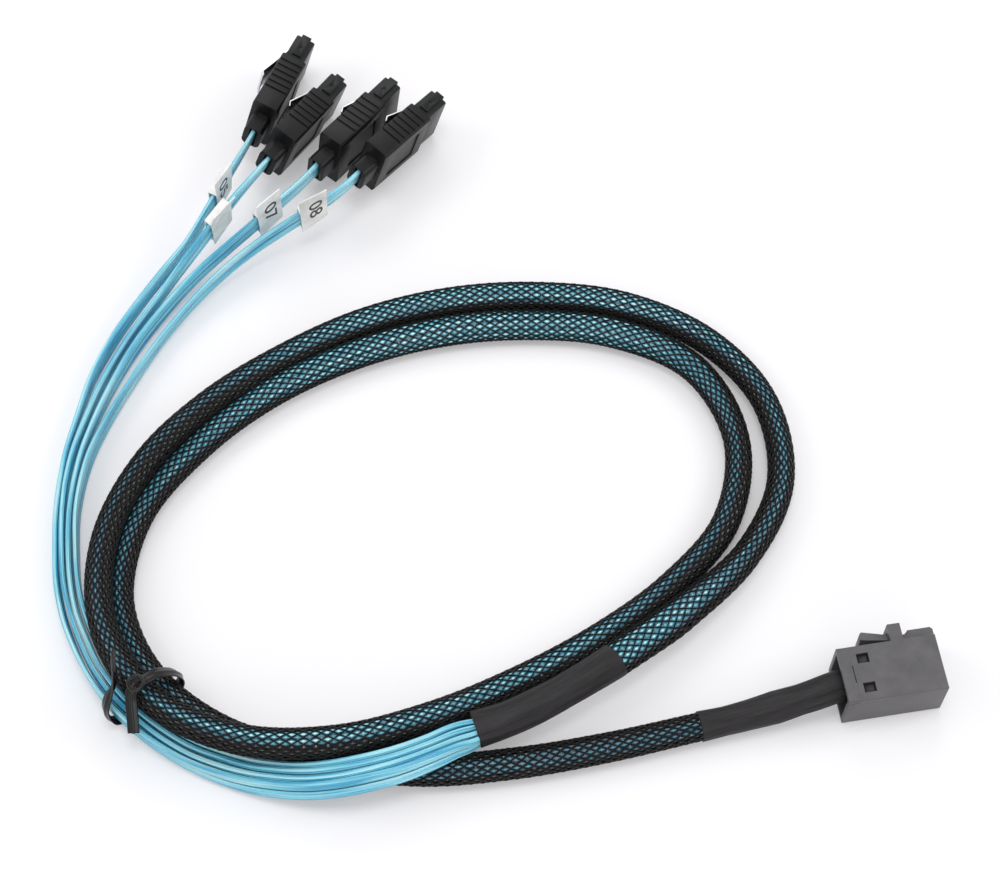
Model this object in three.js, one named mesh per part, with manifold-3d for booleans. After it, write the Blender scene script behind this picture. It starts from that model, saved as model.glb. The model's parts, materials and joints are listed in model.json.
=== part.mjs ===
// A breakout cable: one flat-sided host plug, a braided trunk wound in two turns,
// and four latching drive plugs, each on its own pair of ribbon cables.
// Millimetres, +Z up, the cable lies on Z = 0 as it was laid out and tied.
import * as THREE from "three";
import { mergeVertices } from "three/addons/utils/BufferGeometryUtils.js";
import Module from "manifold-3d";

const wasm = await Module();
wasm.setup();

const { Vector2, Vector3, Matrix4, Shape, Path, Group, Mesh } = THREE;

// Clearances
const gap = 0.3;
const sleeveGap = 0.6;
const labelGap = 0.45;
const pocketGap = 0.45;
const weld = 0.4;

// Middle of the footprint of the connectors, heat-shrinks, tie and labels
const footprintCentre = new Vector2(4.72, 12.98);

// Host plug: a rectangular shell that two stacked paddle cards sit in
const hostPlace = new Vector3(69.65, -65.87, 0);
const hostYaw = 9.2;
const hostLength = 20.5;
const hostWidth = 11.85;
const hostHeight = 11.6;
const hostWall = 0.95;
const hostCorner = 0.4;
const hostBandLength = 2.3;
const hostBandStep = 0.12;
const hostSlitWidth = 0.25;
const hostSlitLength = 3.7;
const hostSlitDepth = 0.5;
const windowMiddle = 4.9;
const windowLength = 2.5;
const windowWidth = 2.1;
const windowSpacing = 6.3;

// Bridge over the latch, on the far side of the shell
const bridgeStart = 11.4;
const bridgeLength = 2.6;
const bridgeRise = 3.5;
const bridgeBeam = 1;
const bridgePost = 1.8;

// Latch: a rocking lever with a pressing pad behind the bridge and a bar in front
const latchWidth = 7.2;
const latchPivotFromWall = 1.35;
const trunnionRadius = 0.65;
const trunnionReach = 0.9;
const latchPadReach = 6.8;
const latchBarReach = 8.2;
const latchBarRise = 0.75;
const latchTeethRoom = 1.7;
const latchThickness = 1.3;
const latchPadLift = 1.6;
const latchPanelDepth = 0.25;
const latchToothHeight = 0.5;

// Wire retainer and paddle cards
const retainerLength = 7;
const barbLength = 1.8;
const barbWidth = 1.5;
const barbRise = 0.5;
const cardLength = 11.6;
const cardWidth = 7.6;
const cardThickness = 1;
const cardSpacing = 4.4;
const cardRecess = 1.1;
const padCount = 9;
const padPitch = 0.75;
const padWidth = 0.45;
const padLength = 3.6;
const padHeight = 0.06;

// Braided trunk and its two heat-shrink sleeves
const trunkDiameter = 5.8;
const trunkSides = 10;
const trunkSteps = 52;
const hostShrinkWide = [6.5, 6.5, 6.3, 6.5, 6.7, 6.7];
const hostShrinkHigh = [6.2, 6.2, 5.8, 5.2, 4.8, 4.8];
const breakoutWide = [7.4, 7.2, 7.1, 6.8, 6.8];
const breakoutHigh = [6.4, 6.2, 6.2, 5.6, 5.4];
const shrinkSides = 16;

// Ribbon cables, two on edge above each other in every drive lead
const ribbonWidth = 2.1;
const ribbonThickness = 1;
const ribbonSteps = 32;
const ribbonTurnStart = 0.88;

// Drive plugs
const plugLength = 16.2;
const plugThickness = 6.1;
const plugHeight = 13.9;
const plugCorner = 0.7;
const ribCount = 6;
const ribPitch = 1.75;
const ribFirst = 5.8;
const ribWidth = 0.5;
const ribHeight = 0.3;
const sidePanelDepth = 0.25;
const stubLength = 4.9;
const stubThickness = 4.4;
const stubHeight = 6.2;
const stubCorner = 1.3;
const stubMiddle = 7.2;
const stubPocket = 1.6;
const noseLength = 6.4;
const noseThickness = 4.6;
const noseHeight = 12.6;
const noseRoot = 2.8;
const noseRootThickness = 3.4;
const noseRootHeight = 10.4;
const railWidth = 2.2;
const railHeight = 0.45;
const slotLength = 10.7;
const slotWidth = 1.7;
const slotDepth = 6;
const slotKey = 1.2;
const contactCount = 7;
const contactPitch = 1.27;
const contactWidth = 0.5;
const contactHeight = 0.3;
const contactLength = 4.4;

// Sheet-metal leaf on the drive plug
const leafWidth = 7;
const leafThickness = 0.3;
const leafPocketDepth = 0.7;

// The leaf seen from its edge, as [back from the tip, out from the nose's face]
const leafProfile = [
  [0.5, -0.25], [2, -0.05], [3.6, 0.5], [5.4, 0.9], [8.6, 1.9], [11.7, 2.85], [12.9, 2.2],
];

// Flag labels around the drive leads
const labelLength = 6.6;
const labelWall = 0.25;
const labelFlag = 4.4;
const labelHem = 0.8;
const labelSteps = 5;

// Twist tie
const tieWidth = 2.4;
const tieThickness = 1;
const tieSteps = 72;

// Route of the trunk, from the host sleeve round both turns to the breakout sleeve
const trunkRoute = [
  [41.5, -67.5, 3.3], [22.5, -72, 3.2], [3, -75.5, 3.2], [-17, -77, 3.2],
  [-36.5, -74, 3.2], [-55.5, -69, 3.3], [-71, -57.5, 4.55], [-79, -40, 3.2],
  [-76.5, -20.5, 3.2], [-64.5, -4.5, 3.2], [-50, 8.5, 3.2], [-33, 18.5, 3.2],
  [-14, 24.5, 3.2], [5.5, 26.5, 3.2], [25, 24.5, 3.2], [42.5, 15.5, 3.2],
  [51, -2, 3.2], [48, -21.5, 3.2], [36, -36.5, 3.2], [20.5, -48.5, 3.2],
  [3, -58.5, 3.3], [-14.5, -67, 5.9], [-33, -73, 9.2], [-52.5, -72.5, 9.4],
  [-70, -64, 9], [-81, -48, 8.6], [-82.5, -28.5, 7.9], [-75.5, -10, 7.3],
  [-63.5, 5, 5.4], [-48, 17.5, 3.6], [-30.5, 27, 3.2], [-11.5, 32.5, 3.2],
  [8, 34, 3.2], [27.5, 31.5, 3.2], [45.5, 22.5, 3.2], [57.5, 7.5, 3.2],
  [60, -12, 3.2], [52, -29.5, 3.9], [38, -43.5, 5.5], [22.5, -55.5, 7],
];

// Route of the host sleeve between the trunk's end and the shell's rear mouth
const hostShrinkRoute = [[48, -66, 3.5], [55.5, -64, 4.1], [63, -61.9, 5.1]];

// Route of the breakout sleeve from the trunk's other end
const breakoutRoute = [[15.4, -60.1, 7.1], [8.4, -64.2, 7.1], [1.4, -67.5, 6.9], [-4.9, -69.7, 6.8]];

// Routes of the four drive leads, at the middle of each pair of ribbons
const leadRoutes = [
  [
    [-5.6, -73.2, 7.2], [-8.3, -74.6, 8.3], [-13, -77.1, 9.1], [-19.1, -79.6, 9],
    [-25.2, -81.3, 8.9], [-31.5, -82.3, 8], [-37.9, -82.3, 6.2], [-44.2, -81.4, 4.4],
    [-50.6, -80, 3.2], [-56.9, -78, 2.8], [-63.3, -75.3, 3.1], [-69.8, -71.5, 3.7],
    [-75.3, -67.2, 4.1], [-79.9, -62.6, 4], [-84.1, -56.9, 3.4], [-87.8, -50.1, 2.8],
    [-90.5, -43.7, 2.5], [-92.5, -36.5, 2.4], [-93.6, -28.3, 2.4], [-94.3, -18.8, 2.4],
    [-93.7, -6.7, 2.4], [-91.9, 2.5, 2.4], [-89.5, 13, 2.4], [-85.4, 23, 2.6],
    [-79.6, 32.7, 3.6], [-75.4, 38.4, 5], [-70.4, 44.5, 7], [-66.7, 50.3, 9.2],
    [-63.9, 55.4, 10.8], [-61.4, 60.8, 11.2], [-58.8, 67, 10.7],
  ],
  [
    [-6.2, -71.9, 7.1], [-9, -73.3, 7.8], [-13.6, -75.8, 8.7], [-19.6, -78.2, 8.9],
    [-25.5, -79.9, 8.9], [-31.6, -80.9, 8], [-37.8, -80.9, 6.2], [-44, -80, 4.4],
    [-50.2, -78.6, 3.2], [-56.4, -76.6, 2.8], [-62.7, -74, 3.1], [-69, -70.3, 3.7],
    [-74.3, -66.1, 4.1], [-78.8, -61.7, 4], [-82.9, -56.1, 3.4], [-86.5, -49.4, 2.8],
    [-89.1, -43.2, 2.5], [-91.1, -36.2, 2.4], [-92.2, -28.1, 2.4], [-92.8, -18.7, 2.4],
    [-92.1, -7, 2.4], [-90, 2.3, 2.4], [-86.9, 12.5, 2.4], [-82.3, 22.8, 2.6],
    [-76.3, 32.5, 3.6], [-72.5, 38, 5.2], [-67.8, 43.6, 8], [-63.6, 48.2, 10.8],
    [-59.6, 53, 13], [-55.7, 58.4, 13.6],
  ],
  [
    [-6.8, -70.6, 7.1], [-9.7, -72, 7.7], [-14.2, -74.5, 8.4], [-20, -76.9, 8.9],
    [-25.8, -78.5, 8.9], [-31.7, -79.4, 8], [-37.7, -79.4, 6.2], [-43.7, -78.6, 4.4],
    [-49.8, -77.3, 3.2], [-55.9, -75.2, 2.8], [-62, -72.7, 3.1], [-68.1, -69.1, 3.7],
    [-73.4, -65, 4.1], [-77.7, -60.7, 4], [-81.6, -55.4, 3.4], [-85.1, -48.8, 2.8],
    [-87.8, -42.7, 2.5], [-89.6, -36, 2.4], [-90.8, -28, 2.4], [-91.4, -18.6, 2.4],
    [-90.5, -7.2, 2.4], [-88.1, 2, 2.4], [-84.4, 12.5, 2.4], [-79.5, 22.8, 2.6],
    [-72.9, 32.6, 3.4], [-67.1, 39.1, 4.8], [-61, 44.4, 6.8], [-54.9, 49.2, 9],
    [-49.7, 53.7, 10.6], [-45.1, 58.5, 10.9],
  ],
  [
    [-7.4, -69.3, 7.1], [-10.4, -70.7, 7.7], [-14.9, -73.2, 8.4], [-20.5, -75.5, 8.9],
    [-26.1, -77.1, 8.9], [-31.8, -78, 8], [-37.6, -78, 6.2], [-43.5, -77.2, 4.4],
    [-49.4, -75.9, 3.2], [-55.4, -73.9, 2.8], [-61.4, -71.5, 3.1], [-67.3, -67.9, 3.7],
    [-72.4, -63.9, 4.1], [-76.6, -59.8, 4], [-80.4, -54.6, 3.4], [-83.8, -48.2, 2.8],
    [-86.4, -42.2, 2.5], [-88.2, -35.7, 2.4], [-89.3, -27.8, 2.4], [-89.9, -18.5, 2.4],
    [-88.6, -7.5, 2.4], [-85.5, 1.8, 2.4], [-80.7, 12.2, 2.4], [-75.2, 22.5, 2.6],
    [-68.4, 32.1, 3.4], [-61.8, 39.1, 4.8], [-54.7, 44.5, 7], [-47.9, 48.2, 9.6],
    [-41.5, 51.3, 12], [-35.8, 55.6, 12.8],
  ],
];

// Where each drive plug lies: rear right lower corner, then yaw, nose-down pitch and roll in degrees
const drivePlaces = [
  { at: [-54.3, 75.5, 2], yaw: 68.8, pitch: 6.5, roll: 14.7 },
  { at: [-50.5, 65.4, 4.2], yaw: 59.5, pitch: 12, roll: 16.1 },
  { at: [-37.5, 64.7, 2.6], yaw: 53.8, pitch: 7.2, roll: 4.4 },
  { at: [-29.1, 61.7, 3.7], yaw: 52.2, pitch: 10.5, roll: 11.5 },
];

// Where each label sits along its lead, as a share of the lead's length, and how far its flag leans
const labelPlaces = [
  { share: 0.925, lean: 0 },
  { share: 0.915, lean: 18 },
  { share: 0.925, lean: 0 },
  { share: 0.935, lean: 0 },
];

// Twist tie: where it crosses under the bundle, and the way the bundle runs there
const tieOrigin = new Vector3(-73, -55, 0);
const tieOut = new Vector3(-0.777, -0.63, 0);
const tieAlong = new Vector3(-0.63, 0.777, 0);

// Tie route as [outwards, up, along the bundle]: flat tail, over both turns, under, round the leads
const tieRoute = [
  [10, 6.9, -11.8], [8.6, 8.9, -9.9], [7.2, 11.2, -8], [6, 13.2, -6.8],
  [4.4, 14, -6.5], [2.4, 13.8, -6.5], [0, 12.6, -6.4], [-2.3, 10.1, -6.5],
  [-4, 7.1, -6.7], [-4.6, 4, -6.9], [-3.6, 1.4, -6.9], [-0.8, 0.62, -6.7],
  [4, 0.6, -6.2], [8, 0.66, -5.6], [10.9, 1.5, -5], [11.7, 3.9, -4.4],
  [11.4, 6.9, -3.9], [10, 9.6, -3.5], [8.1, 11.7, -3.1], [6.8, 13.6, -2],
  [5.4, 14.4, 0.2], [3.8, 14.3, 2.2],
];

// Ways the tie's flat side turns, by share of its length
const tieGuides = [
  [0.1, new Vector3(1, 0, 0)],
  [0.24, tieAlong.clone().negate()],
  [0.8, tieAlong.clone().negate()],
  [0.92, new Vector3(0, 0, 1)],
];

// Materials
const paint = (color, roughness, metalness = 0) =>
  new THREE.MeshStandardMaterial({ color, roughness, metalness });
const shellGrey = paint(0x56545a, 0.5);
const plugBlack = paint(0x232225, 0.55);
const noseBlack = paint(0x1b1f21, 0.5);
const retainerBlack = paint(0x1d1c1f, 0.6);
const boardGreen = paint(0x1f4a32, 0.5);
const springSteel = paint(0xc9c9cb, 0.3, 1);
const shrinkBlack = paint(0x1c1b1e, 0.75);
const braidBlack = paint(0x14262e, 0.6);
const ribbonBlue = paint(0x58bfe6, 0.35);
const labelWhite = paint(0xf2f2ee, 0.6);
const tieBlack = paint(0x1a1a1b, 0.4);

// Turns a closed three.js geometry into a solid, and back
function toSolid(geometry) {
  const loose = geometry.index ? geometry.toNonIndexed() : geometry;
  const bare = new THREE.BufferGeometry();
  bare.setAttribute("position", loose.getAttribute("position"));
  const merged = mergeVertices(bare, 1e-4);
  return new wasm.Manifold(new wasm.Mesh({
    numProp: 3,
    vertProperties: merged.getAttribute("position").array,
    triVerts: new Uint32Array(merged.index.array),
  }));
}

function toGeometry(body) {
  const mesh = body.getMesh();
  const geometry = new THREE.BufferGeometry();
  geometry.setAttribute("position", new THREE.BufferAttribute(new Float32Array(mesh.vertProperties), 3));
  geometry.setIndex(new THREE.BufferAttribute(new Uint32Array(mesh.triVerts), 1));
  geometry.computeVertexNormals();
  return geometry;
}

// Joins and cuts closed geometries
function carve(base, { add = [], cut = [] }) {
  let body = toSolid(base);
  for (const piece of add) body = body.add(toSolid(piece));
  for (const piece of cut) body = body.subtract(toSolid(piece));
  return toGeometry(body);
}

// A box from its lowest to its highest corner
function box(x0, x1, y0, y1, z0, z1) {
  const geometry = new THREE.BoxGeometry(x1 - x0, y1 - y0, z1 - z0);
  return geometry.translate((x0 + x1) / 2, (y0 + y1) / 2, (z0 + z1) / 2);
}

// A rectangle with round corners, as an outline
function roundedRectangle(x0, x1, y0, y1, radius) {
  const outline = new Shape();
  outline.moveTo(x0 + radius, y0);
  outline.lineTo(x1 - radius, y0);
  outline.absarc(x1 - radius, y0 + radius, radius, -Math.PI / 2, 0);
  outline.lineTo(x1, y1 - radius);
  outline.absarc(x1 - radius, y1 - radius, radius, 0, Math.PI / 2);
  outline.lineTo(x0 + radius, y1);
  outline.absarc(x0 + radius, y1 - radius, radius, Math.PI / 2, Math.PI);
  outline.lineTo(x0, y0 + radius);
  outline.absarc(x0 + radius, y0 + radius, radius, Math.PI, 1.5 * Math.PI);
  return outline;
}

function polygon(points) {
  return new Shape(points.map(([x, y]) => new Vector2(x, y)));
}

// Pushes a flat outline along X (outline in Y, Z), along Y (outline in X, Z) or along Z (outline in X, Y)
const turnAlongX = new Matrix4().makeBasis(new Vector3(0, 1, 0), new Vector3(0, 0, 1), new Vector3(1, 0, 0));
const turnAlongY = new Matrix4().makeBasis(new Vector3(1, 0, 0), new Vector3(0, 0, 1), new Vector3(0, -1, 0));

function pushAlongX(outline, x0, x1, curveSegments = 3) {
  const geometry = new THREE.ExtrudeGeometry(outline, { depth: x1 - x0, bevelEnabled: false, curveSegments });
  return geometry.applyMatrix4(turnAlongX).translate(x0, 0, 0);
}

function pushAlongY(outline, y0, y1, curveSegments = 3) {
  const geometry = new THREE.ExtrudeGeometry(outline, { depth: y1 - y0, bevelEnabled: false, curveSegments });
  return geometry.applyMatrix4(turnAlongY).translate(0, y1, 0);
}

function pushAlongZ(outline, z0, z1, curveSegments = 3) {
  const geometry = new THREE.ExtrudeGeometry(outline, { depth: z1 - z0, bevelEnabled: false, curveSegments });
  return geometry.translate(0, 0, z0);
}

function cylinderAlongZ(x, y, radius, z0, z1, sides = 20) {
  const geometry = new THREE.CylinderGeometry(radius, radius, z1 - z0, sides);
  return geometry.rotateX(Math.PI / 2).translate(x, y, (z0 + z1) / 2);
}

// A smooth route whose section keeps its first axis as near as it can to a guiding direction;
// guides are [share of the route, direction], turning smoothly from one to the next
class GuidedRoute extends THREE.CatmullRomCurve3 {
  constructor(points, guides = [[0, new Vector3(0, 0, 1)]]) {
    super(points.map(([x, y, z]) => new Vector3(x, y, z)));
    this.guides = guides;
    this.arcLengthDivisions = 40 * points.length;
  }

  guideAt(share) {
    const next = this.guides.findIndex(([place]) => place > share);
    if (next === 0) return this.guides[0][1].clone();
    if (next < 0) return this.guides.at(-1)[1].clone();
    const [from, start] = this.guides[next - 1];
    const [to, end] = this.guides[next];
    return start.clone().lerp(end, THREE.MathUtils.smoothstep(share, from, to));
  }

  frameAt(share) {
    const tangent = this.getTangentAt(share);
    const guide = this.guideAt(share);
    const normal = guide.addScaledVector(tangent, -guide.dot(tangent)).normalize();
    const binormal = new Vector3().crossVectors(tangent, normal);
    return { tangent, normal, binormal };
  }

  computeFrenetFrames(segments) {
    return listFrames(this, 0, 1, segments);
  }
}

function listFrames(route, from, to, segments) {
  const frames = Array.from({ length: segments + 1 }, (_, i) =>
    route.frameAt(THREE.MathUtils.lerp(from, to, i / segments)));
  return {
    tangents: frames.map((frame) => frame.tangent),
    normals: frames.map((frame) => frame.normal),
    binormals: frames.map((frame) => frame.binormal),
  };
}

// A stretch of a guided route, moved along its first section axis
class Stretch extends THREE.Curve {
  constructor(route, lift, from = 0, to = 1) {
    super();
    Object.assign(this, { route, lift, from, to });
  }

  getPoint(share) {
    const place = THREE.MathUtils.lerp(this.from, this.to, share);
    return this.route.getPointAt(place).addScaledVector(this.route.frameAt(place).normal, this.lift);
  }

  computeFrenetFrames(segments) {
    return listFrames(this.route, this.from, this.to, segments);
  }
}

// An oval with its long axis level: the section's x runs along the guide, its y across it
function ovalOutline(width, height, sides) {
  const points = Array.from({ length: sides }, (_, i) => {
    const angle = ((i + 0.5) * 2 * Math.PI) / sides;
    return new Vector2((height / 2) * Math.cos(angle), (width / 2) * Math.sin(angle));
  });
  return new Shape(points);
}

// An eight-sided flat section for ribbons and the tie, high along the guide
function ribbonOutline(high, thick) {
  const h = high / 2;
  const t = thick / 2;
  const chamfer = 0.3 * thick;
  return polygon([
    [h, -t + chamfer], [h, t - chamfer], [h - chamfer, t], [-h + chamfer, t],
    [-h, t - chamfer], [-h, -t + chamfer], [-h + chamfer, -t], [h - chamfer, -t],
  ]);
}

function runAlong(outline, route, steps) {
  return new THREE.ExtrudeGeometry(outline, { steps, bevelEnabled: false, extrudePath: route });
}

// A tube whose oval section changes along its route, closed at both ends
function sleeve(route, widths, heights, steps) {
  const positions = [];
  const indices = [];
  const share = (values, u) => {
    const place = u * (values.length - 1);
    const i = Math.min(values.length - 2, Math.floor(place));
    return THREE.MathUtils.lerp(values[i], values[i + 1], place - i);
  };
  for (let i = 0; i <= steps; i++) {
    const u = i / steps;
    const centre = route.getPointAt(u);
    const { normal, binormal } = route.frameAt(u);
    for (let k = 0; k < shrinkSides; k++) {
      const angle = (k * 2 * Math.PI) / shrinkSides;
      const point = centre.clone()
        .addScaledVector(binormal, (share(widths, u) / 2) * Math.cos(angle))
        .addScaledVector(normal, (share(heights, u) / 2) * Math.sin(angle));
      positions.push(point.x, point.y, point.z);
    }
  }
  for (let i = 0; i < steps; i++) {
    for (let k = 0; k < shrinkSides; k++) {
      const next = (k + 1) % shrinkSides;
      const a = i * shrinkSides + k;
      const b = i * shrinkSides + next;
      const c = a + shrinkSides;
      const d = b + shrinkSides;
      indices.push(a, c, b, b, c, d);
    }
  }
  const last = steps * shrinkSides;
  for (let k = 1; k < shrinkSides - 1; k++) {
    indices.push(0, k, k + 1);
    indices.push(last, last + k + 1, last + k);
  }
  const geometry = new THREE.BufferGeometry();
  geometry.setAttribute("position", new THREE.Float32BufferAttribute(positions, 3));
  geometry.setIndex(indices);
  geometry.computeVertexNormals();
  return geometry;
}

function piece(name, geometry, material) {
  const mesh = new Mesh(geometry, material);
  mesh.name = name;
  return mesh;
}

// Host plug shell: an open rectangular tube with snap windows, a rear band and the latch bridge
function hostShell() {
  const outer = roundedRectangle(0, hostWidth, 0, hostHeight, hostCorner);
  const mainTop = hostHeight - hostBandStep;
  const bridgeOuter = hostWidth + bridgeRise;
  const beam = box(
    bridgeStart, bridgeStart + bridgeLength, bridgeOuter - bridgeBeam, bridgeOuter, 0, mainTop,
  );
  const posts = [[0, bridgePost], [mainTop - bridgePost, mainTop]].map(([z0, z1]) =>
    box(bridgeStart, bridgeStart + bridgeLength, hostWidth - weld, bridgeOuter, z0, z1));
  const cavity = pushAlongX(
    roundedRectangle(hostWall, hostWidth - hostWall, hostWall, hostHeight - hostWall, hostCorner),
    -1, hostLength + 1,
  );
  const windows = [];
  for (const side of [-1, 1]) {
    const middle = hostWidth / 2 + (side * windowSpacing) / 2;
    windows.push(box(
      windowMiddle - windowLength / 2, windowMiddle + windowLength / 2,
      middle - windowWidth / 2, middle + windowWidth / 2, -1, hostHeight + 1,
    ));
  }
  const pivot = latchPivot();
  const seatRadius = trunnionRadius + gap;
  const seatDepth = trunnionReach + gap - (hostLatchBase() - bridgePost);
  const seats = [
    cylinderAlongZ(pivot.x, pivot.y, seatRadius, bridgePost - seatDepth, bridgePost + weld),
    cylinderAlongZ(
      pivot.x, pivot.y, seatRadius, mainTop - bridgePost - weld, mainTop - bridgePost + seatDepth,
    ),
  ];
  const topStep = box(hostBandLength, hostLength + 1, -1, bridgeOuter + 1, mainTop, hostHeight + 1);
  const topSlit = box(
    hostBandLength, hostBandLength + hostSlitWidth, (hostWidth - hostSlitLength) / 2,
    (hostWidth + hostSlitLength) / 2, mainTop - hostSlitDepth, hostHeight + 1,
  );
  const sideSlitTop = hostHeight - hostWall;
  const sideSlit = box(-1, hostBandLength, -1, hostSlitDepth, sideSlitTop - hostSlitWidth, sideSlitTop);
  return carve(pushAlongX(outer, 0, hostLength, 3), {
    add: [beam, ...posts],
    cut: [cavity, ...windows, ...seats, topStep, topSlit, sideSlit],
  });
}

const latchPivot = () => new Vector2(bridgeStart + bridgeLength / 2, hostWidth + latchPivotFromWall);
const hostLatchBase = () => (hostHeight - hostBandStep - latchWidth) / 2;

// Latch lever, seen along its pivot: pad to the left, bar to the right
function hostLatch() {
  const pivot = latchPivot();
  const base = hostLatchBase();
  const inner = pivot.y - latchThickness / 2 - gap;
  const outer = pivot.y + latchThickness / 2 - gap;
  const padEnd = pivot.x - latchPadReach;
  const barEnd = pivot.x + latchBarReach;
  const barStart = bridgeStart + bridgeLength + latchTeethRoom;
  const barTop = outer + latchBarRise;
  const tooth = latchToothHeight;
  const outline = polygon([
    [barEnd - 0.4, inner], [barEnd, inner + 0.3], [barEnd, barTop - 0.5], [barEnd - 0.5, barTop],
    [barStart, barTop], [barStart, outer - 0.1], [barStart - tooth, outer + 0.3],
    [barStart - tooth, outer - 0.3], [barStart - 2 * tooth, outer + 0.1],
    [barStart - 2 * tooth, outer - 0.3],
    [pivot.x + 0.9, pivot.y + 0.4], [pivot.x, pivot.y + 0.8], [pivot.x - 1, pivot.y + 0.7],
    [padEnd + 0.4, inner + latchPadLift + 1.5], [padEnd, inner + latchPadLift + 1.1],
    [padEnd, inner + latchPadLift], [padEnd + 0.5, inner + latchPadLift - 0.3],
    [pivot.x - 1.2, pivot.y - 0.45], [pivot.x - 0.6, inner],
  ]);
  const lever = pushAlongZ(outline, base, base + latchWidth);
  const trunnion = cylinderAlongZ(
    pivot.x, pivot.y, trunnionRadius, base - trunnionReach, base + latchWidth + trunnionReach,
  );
  const panel = box(
    barStart + 0.7, barEnd - 0.8, barTop - latchPanelDepth, barTop + 1, base + 0.8, base + latchWidth - 0.8,
  );
  return carve(lever, { add: [trunnion], cut: [panel] });
}

// The block inside the shell that grips the wires: barbs in the windows, slots for the cards
function hostRetainer() {
  const rear = hostBandLength + hostSlitWidth;
  const front = rear + retainerLength;
  const y0 = hostWall + gap;
  const z0 = hostWall + gap;
  const y1 = hostWidth - y0;
  const z1 = hostHeight - z0;
  const block = box(rear, front, y0, y1, z0, z1);
  const barbs = [];
  for (const side of [-1, 1]) {
    const middle = hostWidth / 2 + (side * windowSpacing) / 2;
    const start = windowMiddle - barbLength / 2;
    const ramp = (base, rise) => pushAlongY(
      polygon([[start, base - rise], [start + barbLength, base - rise],
        [start + barbLength, base + rise], [start, base + 0.2 * rise]]),
      middle - barbWidth / 2, middle + barbWidth / 2,
    );
    barbs.push(ramp(z1, barbRise));
    const lower = ramp(z1, barbRise).rotateX(Math.PI);
    barbs.push(lower.translate(0, 2 * middle, hostHeight));
  }
  const slots = cardLevels().map((level) => box(
    cardRear() - gap, front + 1,
    (hostWidth - cardWidth) / 2 - gap, (hostWidth + cardWidth) / 2 + gap,
    level - cardThickness / 2 - gap, level + cardThickness / 2 + gap,
  ));
  return carve(block, { add: barbs, cut: slots });
}

const cardLevels = () => [-1, 1].map((side) => hostHeight / 2 + (side * cardSpacing) / 2);
const cardRear = () => hostLength - cardRecess - cardLength;

// A paddle card with a row of contact pads on each face
function paddleCard(level) {
  const front = hostLength - cardRecess;
  const y0 = (hostWidth - cardWidth) / 2;
  const half = cardThickness / 2;
  const edge = 0.25;
  const board = pushAlongY(polygon([
    [cardRear(), level - half], [front - edge, level - half], [front, level - half + edge],
    [front, level + half - edge], [front - edge, level + half], [cardRear(), level + half],
  ]), y0, y0 + cardWidth);
  const pads = [];
  for (let i = 0; i < padCount; i++) {
    const middle = hostWidth / 2 + (i - (padCount - 1) / 2) * padPitch;
    for (const side of [-1, 1]) {
      const face = level + side * half;
      pads.push(box(
        front - edge - padLength, front - edge, middle - padWidth / 2, middle + padWidth / 2,
        face - padHeight, face + padHeight,
      ));
    }
  }
  return carve(board, { add: pads });
}

// Drive plug over-mould: grip ribs on both narrow sides, a shallow panel on the wide sides
function driveOvermould() {
  const body = pushAlongX(
    roundedRectangle(0, plugThickness, ribHeight, plugHeight - ribHeight, plugCorner), 0, plugLength, 3,
  );
  const add = [];
  const padLength0 = ribFirst - ribPitch / 2;
  const inset = plugCorner / 2;
  for (const [z0, z1] of [[0, 1], [plugHeight - 1, plugHeight]]) {
    add.push(box(0, padLength0, inset, plugThickness - inset, z0, z1));
    for (let i = 0; i < ribCount; i++) {
      const x = ribFirst + i * ribPitch;
      add.push(box(x - ribWidth / 2, x + ribWidth / 2, inset, plugThickness - inset, z0, z1));
    }
  }
  const stubY = (plugThickness - stubThickness) / 2;
  const stub = pushAlongX(
    roundedRectangle(
      stubY, stubY + stubThickness, stubMiddle - stubHeight / 2, stubMiddle + stubHeight / 2, stubCorner,
    ), -stubLength, weld, 3,
  );
  add.push(stub);
  const pocketHigh = ribbonWidth + gap / 2 + pocketGap;
  const pocketThick = ribbonThickness / 2 + pocketGap;
  const middle = plugThickness / 2;
  const ribbonPocket = box(
    -stubLength - 1, -stubLength + stubPocket, middle - pocketThick, middle + pocketThick,
    stubMiddle - pocketHigh, stubMiddle + pocketHigh,
  );
  const noseSocket = box(
    plugLength - noseRoot - gap, plugLength + 1,
    (plugThickness - noseRootThickness) / 2 - gap, (plugThickness + noseRootThickness) / 2 + gap,
    (plugHeight - noseRootHeight) / 2 - gap, (plugHeight + noseRootHeight) / 2 + gap,
  );
  const panelOutline = roundedRectangle(3.6, plugLength - 3.2, 2.6, plugHeight - 2.6, 0.6);
  const panels = [
    pushAlongY(panelOutline, -1, sidePanelDepth),
    pushAlongY(panelOutline, plugThickness - sidePanelDepth, plugThickness + 1),
  ];
  const leafMiddle = plugHeight / 2;
  const leafRoom = box(
    plugLength - 2.9, plugLength + 1, plugThickness - leafPocketDepth, plugThickness + 1,
    leafMiddle - leafWidth / 2 - gap, leafMiddle + leafWidth / 2 + gap,
  );
  return carve(body, { add, cut: [ribbonPocket, noseSocket, ...panels, leafRoom] });
}

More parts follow.
